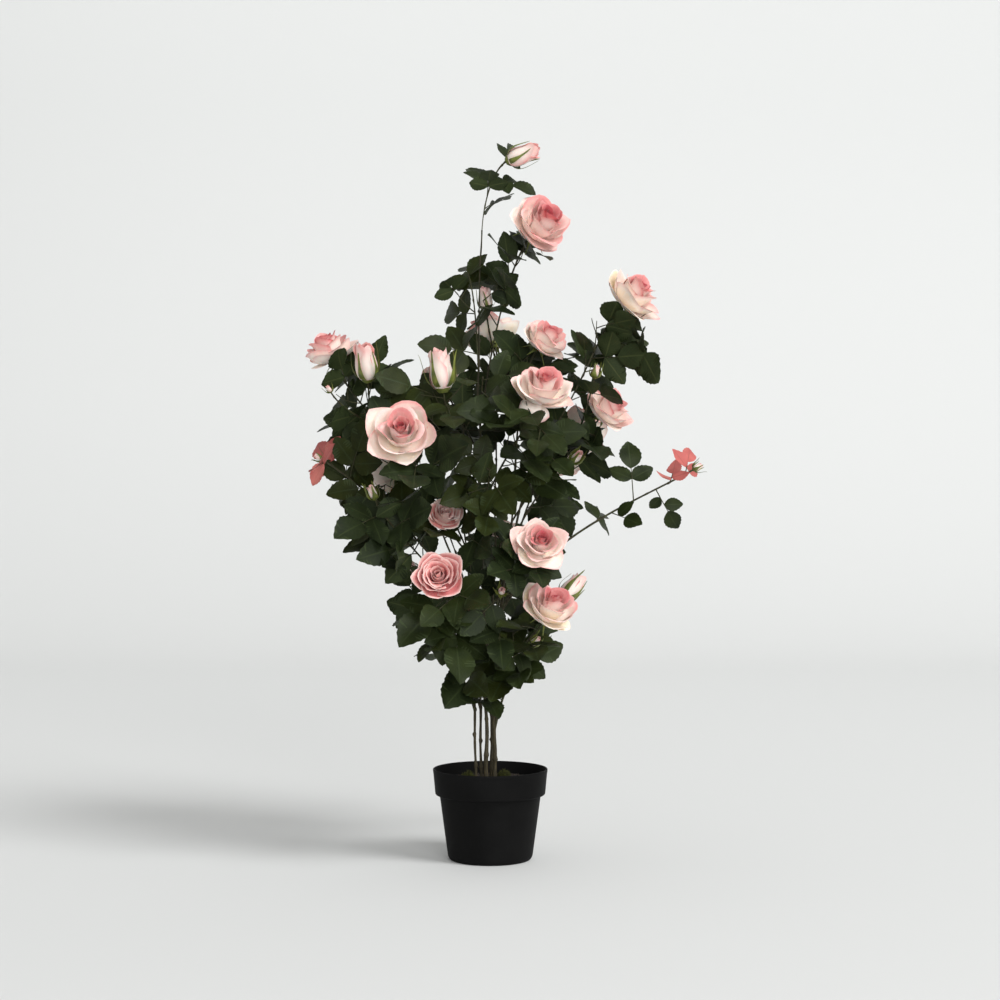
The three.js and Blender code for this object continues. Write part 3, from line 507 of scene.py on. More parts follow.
cane_bark, shader, add, join = new_finish("cane_bark", 0.66, (0.06, 0.04, 0.02), 0.3)
BARK_TONES = [(0.3, (0.014, 0.0112, 0.0056)), (0.5, (0.037, 0.0285, 0.013)), (0.72, (0.083, 0.064, 0.03))]
BARK_OLIVE = (0.03, 0.032, 0.014)
spot = add("TexCoord")
stretch = add("Mapping", Scale=(1, 1, 0.12))
fibre = add("TexNoise", Scale=900, Detail=5)
patch = add("TexNoise", Scale=38, Detail=3)
tone = tone_steps(add, BARK_TONES)
height = add("SeparateXYZ")
greening = add("MapRange", **{"From Min": 0.0, "From Max": 0.5})
olive = add("Mix", data_type="RGBA", B=(*BARK_OLIVE, 1))
bump = add("Bump", Strength=0.5, Distance=0.0006)
join(spot.outputs["Object"], stretch.inputs["Vector"])
join(stretch.outputs["Vector"], fibre.inputs["Vector"])
join(spot.outputs["Object"], patch.inputs["Vector"])
join(spot.outputs["Object"], height.inputs["Vector"])
join(height.outputs["Z"], greening.inputs["Value"])
join(fibre.outputs["Fac"], tone.inputs["Fac"])
join(tone.outputs["Color"], olive.inputs["A"])
join(figure(add, join, "MULTIPLY", greening.outputs["Result"], patch.outputs["Fac"]), olive.inputs["Factor"])
join(olive.outputs["Result"], shader.inputs["Base Color"])
join(fibre.outputs["Fac"], bump.inputs["Height"])
join(bump.outputs["Normal"], shader.inputs["Normal"])

canes = {name: cane_limb(*sizes) for name, sizes in CANES.items()}
bark_rng = np.random.default_rng(41)
for name, (knots, radius_at) in canes.items():
    cane = bark_limb(
        "bark_cane_" + name, knots, lambda share: radius_at(share) - THINNER[name], 0.0, 1.0, CANE_SIDES,
        bark_rng, wander=CANE_WANDER,
    )
    cane.data.materials.append(cane_bark)
    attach(cane, "root")
    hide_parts("cane_" + name)

# ---------- boughs ----------
# Boughs are the same cased wire, welded to a cane at a slant. Each carries a spray: a stem that is
# pushed over its tip, with leaves and, on most, a bloom or a bud. Some sprays grow on a cane itself.

# The rows give, for each spray: cane, fork as a share of the cane, share of the limb that is bough, end
# and facing of its bloom, seed, bloom with its radius or length, leaves, length of the end leaflet, young
# leaves, and side twigs. A side twig's row gives its place on the stem, its end, its bud and its leaves.
SPRAYS = {
    "top": ("tall", 1, 0, (26, -6, 1004), (0.9, -0.25, 0.3), 675, ("bud", 47), 7, 42),
    "upper_rose": ("tall", 0.62, 0.35, (60, -6, 898), (0.5, -0.65, 0.5), 31, ("rose", 47), 9, 56),
    "tall_leaves": ("tall", 0.74, 0, (-34, -20, 846), (-0.4, -0.3, 0.9), 1389, None, 8, 56),
    "right_high": ("right", 1, 0, (190, 16, 797), (0.62, -0.4, 0.62), 337, ("rose", 45), 14, 62),
    "upper_mid": ("right", 0.55, 0.3, (68, -8, 733), (0.55, -0.45, 0.7), 395, ("rose", 36), 10, 56),
    "back_upper": (
        "back", 1, 0, (6, 52, 742), (-0.3, 0.45, 0.75), 57, ("rose", 41), 9, 56, 0,
        [(0.5, (-6, 24, 792), 34, 0, 0)],
    ),
    "front_upper": ("tall", 0.45, 0.3, (66, -96, 652), (0.25, -0.55, 0.8), 91, ("rose", 44), 11, 62),
    "right_mid": (
        "right", 0.62, 0.3, (158, -2, 634), (0.6, -0.45, 0.65), 170, ("rose", 38), 11, 60, 0,
        [(0.55, (148, -34, 690), 20, 0, 0)],
    ),
    "mid_bud": ("mid_left", 1, 0, (-66, -58, 672), (-0.12, -0.1, 1), 456, ("bud", 57), 12, 62),
    "left_high": (
        "mid_left", 0.72, 0.3, (-224, 14, 712), (-0.35, -0.2, 0.9), 1690, ("rose", 41), 14, 62, 0,
        [(0.62, (-174, -36, 688), 54, 0, 0), (0.5, (-224, -62, 668), 12, 2, 32)],
    ),
    "left_front": ("left", 1, 0, (-124, -104, 597), (0.05, -0.85, 0.45), 282, ("rose", 47), 10, 62),
    "left_inner": ("left", 0.6, 0.3, (-68, -62, 486), (0.25, -0.7, 0.6), 13, ("rosette", 26), 10, 60),
    "low_left_rose": ("left", 0.3, 0.3, (-70, -112, 404), (-0.05, -0.9, 0.4), 292, ("rosette", 35), 11, 66),
    "right_front": ("tall", 0.2, 0.35, (64, -112, 446), (0.2, -0.8, 0.5), 359, ("rose", 37), 11, 60),
    "low_right_rose": ("right", 0.2, 0.3, (76, -98, 352), (0.35, -0.55, 0.75), 1, ("rose", 41), 10, 58),
    "right_inner": (
        "right", 0.52, 0.3, (104, 48, 590), (0.3, 0.6, -0.35), 101, ("rose", 34), 10, 60, 0,
        [(0.7, (118, -38, 572), 24, 0, 0)],
    ),
    "left_low": ("left", 0.45, 0.3, (-160, -96, 518), (-0.3, -0.4, 0.85), 150, ("bud", 22), 12, 70),
    "left_tip": ("mid_left", 0.45, 0.3, (-240, -20, 574), (-0.8, -0.1, 0.5), 902, ("bud", 14), 12, 60, 2),
    "right_shoot": ("right", 0.42, 0.4, (292, -2, 560), (0.85, 0, 0.5), 1783, ("bud", 16), 6, 44, 2),
    "front_low": ("tall", 0.15, 0, (16, -104, 388), (0.05, -0.9, 0.35), 36, ("bud", 18), 10, 60),
    "low_left": ("left", 0.2, 0, (-84, -56, 318), (-0.8, -0.5, 0.2), 62, None, 11, 62),
    "low_right": ("right", 0.12, 0, (58, -58, 312), (0.6, -0.5, 0.6), 91, ("bud", 20), 11, 54),
    "inner_low": ("mid_left", 0.35, 0, (-30, -72, 470), (0, -0.5, 0.8), 108, None, 11, 60),
    "inner_mid": ("tall", 0.38, 0, (0, -92, 560), (0.1, -0.6, 0.8), 95, None, 12, 62),
    "inner_high": ("tall", 0.52, 0, (-10, -60, 690), (0.1, -0.5, 0.9), 280, None, 12, 60),
    "back_high": ("back", 0.8, 0.3, (-66, 96, 676), (-0.35, 0.65, 0.65), 358, ("rose", 39), 7, 60),
    "back_right": ("back", 0.62, 0.3, (128, 128, 610), (0.45, 0.65, 0.6), 391, ("rose", 41), 8, 62),
    "back_left": ("back", 0.48, 0.3, (-140, 124, 552), (-0.45, 0.7, 0.5), 485, ("rose", 41), 8, 62),
    "back_low": ("back", 0.34, 0.3, (22, 140, 446), (0.05, 0.85, 0.45), 477, ("rosette", 35), 7, 64),
    "back_low_right": ("back", 0.18, 0.25, (108, 92, 372), (0.6, 0.5, 0.6), 307, ("bud", 46), 7, 64),
    "back_low_left": ("mid_left", 0.2, 0.25, (-100, 84, 392), (-0.6, 0.5, 0.6), 155, ("bud", 46), 7, 64),
}
BOUGH_SIDES = 12
BOUGH_BARK = 0.8  # depth of its bark's relief as a share of a cane's
STEM_END_RADIUS = 1.4
FORK_SLANT = 0.9


def spray_limb(cane, fork, end, facing, has_bloom):
    """A spray's whole limb: from its cane's axis, along the cane and towards its end, to its bloom."""
    cane_knots, cane_radius = canes[cane]
    start, end = bezier(cane_knots, fork), np.array(end, float)
    span = np.linalg.norm(end - start)
    heading = unit(bezier_way(cane_knots, fork) + (FORK_SLANT if fork < 1 else 0) * unit(end - start))
    knots = np.array([start, start + heading * 0.38 * span, end - unit(facing) * 0.22 * span, end])
    first_radius = min(2.4, 0.72 * float(cane_radius(fork)))
    last_radius = STEM_END_RADIUS if has_bloom else 0.7 * STEM_END_RADIUS
    return knots, lambda share: first_radius + (last_radius - first_radius) * share


def side_twig(at, end, knots):
    """A side twig of a spray's stem: it leaves along the stem and ends upwards, in a bud."""
    start, end = bezier(knots, at), np.array(end, float)
    span = np.linalg.norm(end - start)
    facing = unit(unit(end - start) + 0.6 * UP)
    twig = np.array([start, start + bezier_way(knots, at) * 0.3 * span, end - facing * 0.3 * span, end])
    return twig, facing


sprays = {}
for name, (cane, fork, bough, end, facing, seed, bloom, leaves, leaflet, *more) in SPRAYS.items():
    young = more[0] if more else 0
    side_twigs = more[1] if len(more) > 1 else []
    knots, radius_at = spray_limb(cane, fork, end, facing, bloom is not None)
    stems = [{
        "knots": knots, "radius": radius_at, "from": bough, "leaves": leaves, "leaflet": leaflet,
        "young": young, "bloom": bloom and (*bloom, np.array(end, float), unit(facing)),
    }]
    for at, twig_end, bud, twig_leaves, twig_leaflet in side_twigs:
        twig, twig_facing = side_twig(at, twig_end, knots)
        stems.append({
            "knots": twig, "radius": lambda share: STEM_END_RADIUS + 0 * share, "from": 0,
            "leaves": twig_leaves, "leaflet": twig_leaflet, "young": twig_leaves,
            "bloom": ("bud", bud, np.array(twig_end, float), twig_facing),
        })
    sprays[name] = {"stems": stems, "seed": seed, "bough": bough}

for name, spray in sprays.items():
    if spray["bough"]:
        knots, radius_at = spray["stems"][0]["knots"], spray["stems"][0]["radius"]
        bough = bark_limb(
            "bark_bough_" + name, knots, radius_at, 0.0, spray["bough"], BOUGH_SIDES, bark_rng, BOUGH_BARK
        )
        bough.data.materials.append(cane_bark)
        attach(bough, "root")
        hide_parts("bough_" + name)

# ---------- finer twigs ----------
# Most stems fork into finer twigs of soft plastic over thin wire, which carry a good part of the leaves.
# They leave the stem to all sides by turns, and bend upwards.
FINER_TWIGS = 7
FEWER_TWIGS = {
    "top": 0, "right_shoot": 0, "low_left": 1, "low_right": 1, "upper_rose": 3, "front_low": 3,
    "tall_leaves": 4, "low_right_rose": 4, "left_tip": 5, "inner_low": 5, "low_left_rose": 5, "right_high": 6,
}
FINER_LEAVES = 4
FINER_LEAFLET = 0.86  # length of a finer twig's leaflets as a share of the stem's
GOLDEN_TURN = math.radians(137.5)
TWIG_SEEDS, TWIG_LEAF_SEEDS = 500, 900  # added to a spray's seed for its finer twigs and their leaves
DRAW_FACTOR, DRAW_STEP, DRAW_STATES = 1664525, 1013904223, 2**32


def seeded_draws(seed):
    """A repeatable stream of numbers from 0 to 1: each state is the last one times a factor, plus a step,
    cut to 32 bits."""
    state = seed

    def draw():
        nonlocal state
        state = (state * DRAW_FACTOR + DRAW_STEP) % DRAW_STATES
        return state / DRAW_STATES

    return draw


def finer_twig(stem, share, turn, length, draw):
    """A finer twig: it leaves its stem to the side at a slant, and turns upwards."""
    way, across, other = cross_ways(stem["knots"], share)
    outward = across * math.cos(turn) + other * math.sin(turn)
    start = bezier(stem["knots"], share)
    reach = unit(outward * 0.9 + way * 0.5 + UP * (0.3 + 0.4 * draw()))
    end = start + reach * length
    leaving, arriving = unit(outward + 0.8 * way), unit(reach + 0.5 * UP)
    return np.array([start, start + leaving * 0.4 * length, end - arriving * 0.3 * length, end])


finer_twigs = {name: [] for name in sprays}
for name, spray in sprays.items():
    draw = seeded_draws(spray["seed"] + TWIG_SEEDS)
    stem = spray["stems"][0]
    twig_count = FEWER_TWIGS.get(name, FINER_TWIGS)
    for i in range(twig_count):
        share = stem["from"] + (1 - stem["from"]) * (0.1 + 0.72 * (i + 0.5 * draw()) / twig_count)
        turn = GOLDEN_TURN * i + 2.1 + spray["seed"]
        knots = finer_twig(stem, share, turn, stem["leaflet"] * (0.55 + 0.5 * draw()), draw)
        finer_twigs[name].append({
            "knots": knots, "from": 0, "leaves": FINER_LEAVES, "leaflet": stem["leaflet"] * FINER_LEAFLET,
            "young": 0, "bloom": None,
        })

# ---------- leaves ----------
# Each compound leaf is cut and pressed from printed green fabric: an end leaflet and one or two pairs, on a
# thin plastic stalk that is pushed on a peg of its stem. The edges are toothed, the midrib is pressed in,
# and the back is paler. Leaves are dealt out by a seeded rule that keeps them apart.

# The leaves of these sprays face that way, and not up and to the outside of the crown.
LEAF_LOOKS = {"left_tip": (-0.4, -0.9, 0.4), "right_shoot": (0, -1, 0.3)}
LEAF_ROWS = [(0.28, 0.32), (0.68, 0.26)]  # share along a leaflet, and its half width there, in lengths
YOUNG_WIDTH = 0.88
LEAF_DROOP = 0.1
CROWN_OVAL = 0.35  # leaves look away from the crown's middle line, and less so to the sides
CROWN_MIDDLE = 20
PAIR_SPREAD = math.radians(62)
PAIR_SIZE = 0.84
PETIOLE_SHARE = 0.42  # bare stalk, and the step from pair to pair, in lengths of the leaf
RACHIS_SHARE = 0.36
LEAF_TO_LIMB, FINER_TO_LIMB = 2.5, 1.5  # least gaps, also for the leaves of finer twigs
LEAF_TO_LEAF, FINER_TO_LEAF = 6, 3.6
LEAF_TO_BLOOM = 2
SPACE_OVERLAP = 30
REACH_PAST_SOLID = 6  # how far leaves of finer twigs may pass the box of the spray's solid
# The crown is an upright V. Each row gives a height, and how far left and right leaves reach there.
CROWN_OUTLINE = np.array([
    (205, -64, 54), (260, -90, 90), (290, -138, 104), (400, -160, 116), (430, -205, 138), (520, -250, 152),
    (600, -262, 205), (700, -270, 240), (748, -262, 248), (770, -100, 250), (860, -64, 245), (885, -30, 110),
    (950, -46, 90), (1040, -46, 78),
])
TOP_GAP = ((57, 765), (150, 850))  # low left and high right corners of the open air between the top sprays
OUT_OF_CROWN = ("right_shoot",)
LIMB_SAMPLES = 10
FIVE_SHARE = 0.4  # of the leaves have five leaflets, and the others three
FIRST_LEAF, LAST_LEAF = 0.12, 0.97  # shares of the stem
LAST_UNDER_BLOOM = 0.86
FINER_SPAN = (0.4, 1.0)  # stretch of a finer twig that bears leaves
SMALL_BUD = 20  # leaves stand right under a bud up to this length
LEAF_TAPER = 0.22  # how much smaller leaves get towards the tip
ROSE_SEAT = 0.66  # a rose's middle stands this many radii past the end of its stem
ROSE_BALL, BUD_BALL = 0.88, 0.5  # ball that leaves keep out of, in radii or lengths of the bloom


def turned(way, axis, angle):
    """A way turned round an axis."""
    sine, cosine = math.sin(angle), math.cos(angle)
    return way * cosine + np.cross(axis, way) * sine + axis * (axis @ way) * (1 - cosine)


def compound_leaf(knots, share, turn, size, width, pairs, look, draw):
    """A stalk and its leaflets, near one plane. The face turns up and to the outside of the crown, or
    along look."""
    foot = bezier(knots, share)
    way, across, other = cross_ways(knots, share)
    outward = across * math.cos(turn) + other * math.sin(turn)
    lean = math.radians(52 + 26 * draw())
    axis = unit(outward * math.sin(lean) + way * math.cos(lean) + UP * (-0.45 + 0.5 * draw()))
    outside = unit([CROWN_OVAL * foot[0], foot[1] - CROWN_MIDDLE, 0])
    sky_share = 0.4 + 0.6 * draw()
    sky = unit(look) if look else UP * 0.7 + outside * sky_share
    side = turned(unit(np.cross(sky, axis)), axis, (draw() - 0.5) * 1.4)
    normal = unit(np.cross(axis, side))
    length = size * (0.88 + 0.24 * draw())
    reach = (PETIOLE_SHARE + RACHIS_SHARE * pairs) * length
    spots = [(reach, 0, 1)]
    for pair in range(1, pairs + 1):
        distance, scale = reach - RACHIS_SHARE * length * pair, PAIR_SIZE - 0.12 * (pair - 1)
        spots += [(distance, PAIR_SPREAD, scale), (distance, -PAIR_SPREAD, scale)]
    leaflets = []
    for distance, angle, scale in spots:
        ahead = turned(axis, normal, angle)
        tilt = turned(turned(side, normal, angle), ahead, (draw() - 0.5) * 0.6)
        leaflets.append({
            "root": foot + axis * distance, "axis": ahead, "normal": unit(np.cross(ahead, tilt)),
            "length": scale * length * (0.93 + 0.14 * draw()), "width": width,
        })
    return {"foot": foot, "axis": axis, "normal": normal, "reach": reach, "leaflets": leaflets}


def leaf_spot(leaf, share, out):
    """A spot of a leaflet, which droops with the square of the distance from its root."""
    right = np.cross(leaf["axis"], leaf["normal"])
    fall = LEAF_DROOP * share**2 * leaf["length"]
    return leaf["root"] + leaf["axis"] * share * leaf["length"] + right * out - leaf["normal"] * fall


def leaf_samples(leaf):
    """Seven points that stand for a leaflet."""
    spots = [leaf["root"] + leaf["axis"] * 0.2 * leaf["length"], leaf_spot(leaf, 0.5, 0)]
    for share, half in LEAF_ROWS:
        out = half * leaf["width"] * leaf["length"]
        spots += [leaf_spot(leaf, share, out), leaf_spot(leaf, share, -out)]
    return np.array(spots + [leaf_spot(leaf, 1, 0)])


def limb_segments(knots, radius_at, first):
    """A limb as straight pieces: start, end and radius of each."""
    share = np.linspace(first, 1, LIMB_SAMPLES + 1)
    points = bezier(knots, share)
    return points[:-1], points[1:], np.broadcast_to(radius_at(share[1:]), LIMB_SAMPLES)


def distances(points, starts, ends, radii):
    """From each point to each straight piece's skin: to the nearest spot of its axis, less its radius."""
    run = ends - starts
    share = np.clip(((points[:, None] - starts) * run).sum(-1) / (run**2).sum(-1), 0, 1)
    return np.linalg.norm(points[:, None] - starts - share[..., None] * run, axis=-1) - radii


spray_names = list(sprays)
limbs = [(-1, *limb_segments(*cane, 0)) for cane in canes.values()]
for number, spray in enumerate(sprays.values()):
    limbs += [(number, *limb_segments(stem["knots"], stem["radius"], 0)) for stem in spray["stems"]]
limb_owner = np.repeat([limb[0] for limb in limbs], LIMB_SAMPLES)
limb_starts, limb_ends, limb_radii = (np.concatenate([limb[i] for limb in limbs]) for i in (1, 2, 3))
spines = [
    limb_segments(spray["stems"][0]["knots"], spray["stems"][0]["radius"], spray["bough"])
    for spray in sprays.values()
]
spine_starts, spine_ends, spine_radii = (np.concatenate([spine[i] for spine in spines]) for i in (0, 1, 2))

bloom_middles, bloom_radii, bloom_fronts = [], [], []
for spray in sprays.values():
    for stem in spray["stems"]:
        if stem["bloom"]:
            kind, size, at, facing = stem["bloom"]
            seat, ball = (BUD_BALL, BUD_BALL) if kind == "bud" else (ROSE_SEAT, ROSE_BALL)
            bloom_middles.append(at + facing * seat * size)
            bloom_radii.append(ball * size)
            bloom_fronts.append(facing[1] < 0)
bloom_middles, bloom_radii = np.array(bloom_middles), np.array(bloom_radii)
leaf_points = [np.full((1, 3), 1e6)]


def clear_of_limbs(points, number, least):
    """Whether every point keeps the least gap from each limb, or 1 mm where the limb is the spray's own."""
    own = np.where(limb_owner == number, 1, least)
    return (distances(points, limb_starts, limb_ends, limb_radii) > own).all()


def clear_of_blooms(points):
    """Whether every point keeps its gap from the ball round each bloom."""
    return (np.linalg.norm(points[:, None] - bloom_middles, axis=-1) > bloom_radii + LEAF_TO_BLOOM).all()


def clear_of_fronts(points):
    """Whether no point stands before a bloom that looks to the front."""
    away = points[:, None] - bloom_middles[bloom_fronts]
    within = np.hypot(away[..., 0], away[..., 2]) < 0.8 * bloom_radii[bloom_fronts]
    return not ((away[..., 1] < 0) & within).any()


def in_own_space(points, number):
    """Whether no other spray's stem is nearer to a point than its own, by more than the overlap."""
    near = distances(points, spine_starts, spine_ends, spine_radii)
    near = near.reshape(len(points), -1, LIMB_SAMPLES).min(-1)
    others = np.delete(near, number, 1)
    return (others > near[:, number, None] - SPACE_OVERLAP).all()


def in_crown(points):
    """Whether every point lies inside the crown's outline, read off between its rows, and out of the gap."""
    x, z = points[:, 0], points[:, 2]
    heights, left, right = CROWN_OUTLINE.T
    within = (z > heights[0]) & (z < heights[-1])
    within = within & (x > np.interp(z, heights, left)) & (x < np.interp(z, heights, right))
    gap_low, gap_high = TOP_GAP
    in_gap = (x > gap_low[0]) & (x < gap_high[0]) & (z > gap_low[1]) & (z < gap_high[1])
    return (within & ~in_gap).all()


def grow_leaves(number, spray, stem, draw, reach_box=None):
    """Deals the compound leaves of one stem along it, each turned on by the golden turn. A leaflet that would
    leave the spray's space or touch anything is skipped, and the whole leaf where that is the end one.
    With reach_box the stem is a finer twig, whose leaves keep to that box and off the front of blooms."""
    if reach_box is None:
        apart, limb_gap = LEAF_TO_LEAF, LEAF_TO_LIMB
        first = stem["from"] + FIRST_LEAF * (1 - stem["from"])
        last = LAST_UNDER_BLOOM if stem["bloom"] and stem["bloom"][1] > SMALL_BUD else LAST_LEAF
    else:
        apart, limb_gap = FINER_TO_LEAF, FINER_TO_LIMB
        first, last = FINER_SPAN
    grown = []
    for i in range(stem["leaves"]):
        share = first + ((last - first) * (i + 0.3 * draw())) / max(1, stem["leaves"] - 0.7)
        turn = GOLDEN_TURN * i + spray["seed"] + 0.7 * (draw() - 0.5)
        pairs = 2 if draw() < FIVE_SHARE else 1
        young = i >= stem["leaves"] - stem["young"]
        size = stem["leaflet"] * (1 - LEAF_TAPER * i / stem["leaves"])
        width, look = YOUNG_WIDTH if young else 1, LEAF_LOOKS.get(spray_names[number])
        leaf = compound_leaf(stem["knots"], min(share, 0.98), turn, size, width, pairs, look, draw)
        stalk = leaf["foot"] + leaf["axis"] * (np.array([0.35, 0.7, 1])[:, None] * leaf["reach"])
        if not clear_of_limbs(stalk, number, limb_gap) or not clear_of_blooms(stalk):
            continue
        kept = []
        for leaflet in leaf["leaflets"]:
            points = leaf_samples(leaflet)
            free = (
                (spray_names[number] in OUT_OF_CROWN or in_crown(points))
                and (reach_box is None or ((points > reach_box[0]) & (points < reach_box[1])).all())
                and clear_of_limbs(points, number, limb_gap)
                and in_own_space(points, number)
                and (np.linalg.norm(np.concatenate(leaf_points)[:, None] - points, axis=-1) > apart).all()
                and clear_of_blooms(points)
                and (reach_box is None or clear_of_fronts(points))
            )
            if free:
                leaflet["young"] = young
                kept.append(leaflet)
                leaf_points.append(points)
            elif not kept:
                break
        if kept:
            grown.append({**leaf, "leaflets": kept})
    return grown


for number, spray in enumerate(sprays.values()):
    draw = seeded_draws(spray["seed"])
    spray["grown"] = [leaf for stem in spray["stems"] for leaf in grow_leaves(number, spray, stem, draw)]
    leaf_points = [np.concatenate(leaf_points)]
for number, (name, spray) in enumerate(sprays.items()):
    draw = seeded_draws(spray["seed"] + TWIG_LEAF_SEEDS)
    low, high = (np.array(corner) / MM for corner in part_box(name + "_foliage"))
    spray["twigs"] = []
    for twig in finer_twigs[name]:
        more = grow_leaves(number, spray, twig, draw, (low - REACH_PAST_SOLID, high + REACH_PAST_SOLID))
        if more:
            spray["twigs"].append(twig["knots"])
            spray["grown"] += more
    leaf_points = [np.concatenate(leaf_points)]

LEAF_STATIONS = 15
LEAF_THICKNESS = 0.45
SHARP_LEAF = math.radians(80)  # edges that bend more are shaded sharp


def sheet_faces(across, along):
    """Faces of a thin closed sheet: a front grid, and a back grid that shares the front's rim."""
    front = np.arange(across * along).reshape(across, along)
    back = front.copy()
    back[1:-1, 1:-1] = across * along + np.arange((across - 2) * (along - 2)).reshape(across - 2, along - 2)
    return np.concatenate([grid_quads(front), grid_quads(back)[:, ::-1]])


def sheets(front, thickness):
    """Many thin closed sheets. front is an array of grids; the back of each is its inner points moved
    against the surface normal, which is the cross product of the two grid directions."""
    count, across, along = front.shape[:3]
    normal = np.cross(np.gradient(front, axis=1), np.gradient(front, axis=2))
    normal /= np.maximum(np.linalg.norm(normal, axis=-1, keepdims=True), 1e-9)
    back = (front - normal * thickness)[:, 1:-1, 1:-1]
    points = np.concatenate([front.reshape(count, -1, 3), back.reshape(count, -1, 3)], 1)
    faces = sheet_faces(across, along)
    quads = faces + (points.shape[1] * np.arange(count))[:, None, None]
    return points.reshape(-1, 3), quads.reshape(-1, 4)


def front_and_back(front, back):
    """Values on the points of sheets: those of the front grid, then those of the back's inner points."""
    count = len(front)
    return np.concatenate([front.reshape(count, -1), back[:, 1:-1, 1:-1].reshape(count, -1)], 1).ravel()


def put_on_points(mesh, name, values):
    """One value for each point of a mesh, which its finish reads by name."""
    layer = mesh.attributes.new(name, "FLOAT", "POINT")
    layer.data.foreach_set("value", np.asarray(values, np.float32).ravel())


def put_uv(mesh, count, across, along):
    """A UV map over count sheets of one grid, whose rows lie at the shares across and along."""
    one_sheet = np.meshgrid(across, along, indexing="ij")
    grids = [np.broadcast_to(grid, (count, *grid.shape)) for grid in one_sheet]
    shares = np.stack([front_and_back(grid, grid) for grid in grids], -1)
    corner = np.empty(len(mesh.loops), np.int32)
    mesh.loops.foreach_get("vertex_index", corner)
    layer = mesh.uv_layers.new(name="sheet")
    layer.data.foreach_set("uv", shares[corner].astype(np.float32).ravel())


def leaflet_grids(leaflets, rng):
    """Leaflet surfaces: along the axis by share, across by a half width that is a skewed sine of the share
    with teeth, less a droop with the square of the share, plus a fold up from the midrib, a wave along each
    edge and a twist that grows with the share."""
    root, axis, normal, length, width = (
        np.array([leaf[key] for leaf in leaflets])[:, None, None]
        for key in ("root", "axis", "normal", "length", "width")
    )
    share = np.linspace(0, 1, LEAF_STATIONS)
    tooth = np.where(np.arange(LEAF_STATIONS) % 2, 1.035, 0.965)
    half = np.maximum(0.355 * np.sin(np.pi * share**0.82) ** 0.8 * tooth, 0.006)
    side = np.array([-1.0, 0, 1])[:, None]
    count = len(leaflets)
    fold = rng.uniform(0.05, 0.34, (count, 1, 1))
    droop = rng.uniform(0.03, 0.2, (count, 1, 1))
    phase = rng.uniform(0, 6.28, (count, 1, 1))
    twist = rng.uniform(-0.28, 0.28, (count, 1, 1))
    wave = 0.022 * np.sin(9 * share + phase + 1.7 * side) * np.abs(side)
    out = side * half * width
    rise = fold * np.abs(out) - droop * share**2 + wave + twist * out * share
    right = np.cross(axis, normal)
    ahead = share + 0.012 * np.abs(side) * (np.arange(LEAF_STATIONS) % 2)
    way = axis * ahead[..., None] + right * out[..., None] + normal * rise[..., None]
    return root + way * length[..., None]


def leaf_finish(name, dark, light, roughness, vein):
    """Printed fabric: a soft mottle, a midrib and slanting side veins in the leaflet's own UV, and a light
    weave. A side vein is a crest of the sine of the place along the leaflet less a share of the way out."""
    material, shader, add, join = new_finish(name, roughness, dark, 0.13)
    spot = add("TexCoord")
    sheet = add("UVMap", uv_map="sheet")
    mottle = add("TexNoise", Scale=42, Detail=4)
    weave = add("TexNoise", Scale=1500, Detail=2)
    tone = tone_steps(add, [(0.3, dark), (0.75, light)])
    split = add("SeparateXYZ")
    midrib = add("MapRange", interpolation_type="SMOOTHSTEP")
    side_line = add("MapRange", interpolation_type="SMOOTHSTEP")
    for line, limits in ((midrib, (0.0, 0.055, 1.0, 0.0)), (side_line, (0.82, 1.0, 0.0, 0.25))):
        for key, value in zip(("From Min", "From Max", "To Min", "To Max"), limits):
            line.inputs[key].default_value = value
    paint = add("Mix", data_type="RGBA", B=(*vein, 1))
    bump = add("Bump", Strength=0.35, Distance=0.0006)
    join(spot.outputs["Object"], mottle.inputs["Vector"])
    join(spot.outputs["Object"], weave.inputs["Vector"])
    join(mottle.outputs["Fac"], tone.inputs["Fac"])
    join(sheet.outputs["UV"], split.inputs["Vector"])
    outness = figure(add, join, "ABSOLUTE", figure(add, join, "SUBTRACT", split.outputs["X"], 0.5))
    slant = figure(add, join, "MULTIPLY_ADD", outness, -0.75, split.outputs["Y"])
    join(outness, midrib.inputs["Value"])
    join(figure(add, join, "SINE", figure(add, join, "MULTIPLY", slant, 52.0)), side_line.inputs["Value"])
    veins = figure(add, join, "MAXIMUM", midrib.outputs["Result"], side_line.outputs["Result"])
    join(veins, paint.inputs["Factor"])
    join(tone.outputs["Color"], paint.inputs["A"])
    join(paint.outputs["Result"], shader.inputs["Base Color"])
    join(figure(add, join, "MULTIPLY_ADD", veins, -0.8, weave.outputs["Fac"]), bump.inputs["Height"])
    join(bump.outputs["Normal"], shader.inputs["Normal"])
    return material


LEAF_FINISHES = {
    "deep_green": ((0.0105, 0.0172, 0.0042), (0.0235, 0.0335, 0.0078), 0.46),
    "blue_green": ((0.0095, 0.0155, 0.005), (0.0205, 0.0305, 0.0094), 0.5),
    "olive_green": ((0.0135, 0.0184, 0.0036), (0.028, 0.0365, 0.0066), 0.44),
}
leaf_rng = np.random.default_rng(19)
leaf_back = leaf_finish("leaf_back", (0.024, 0.036, 0.013), (0.04, 0.055, 0.02), 0.6, (0.06, 0.075, 0.027))
GREEN_VEIN = (0.027, 0.039, 0.0125)


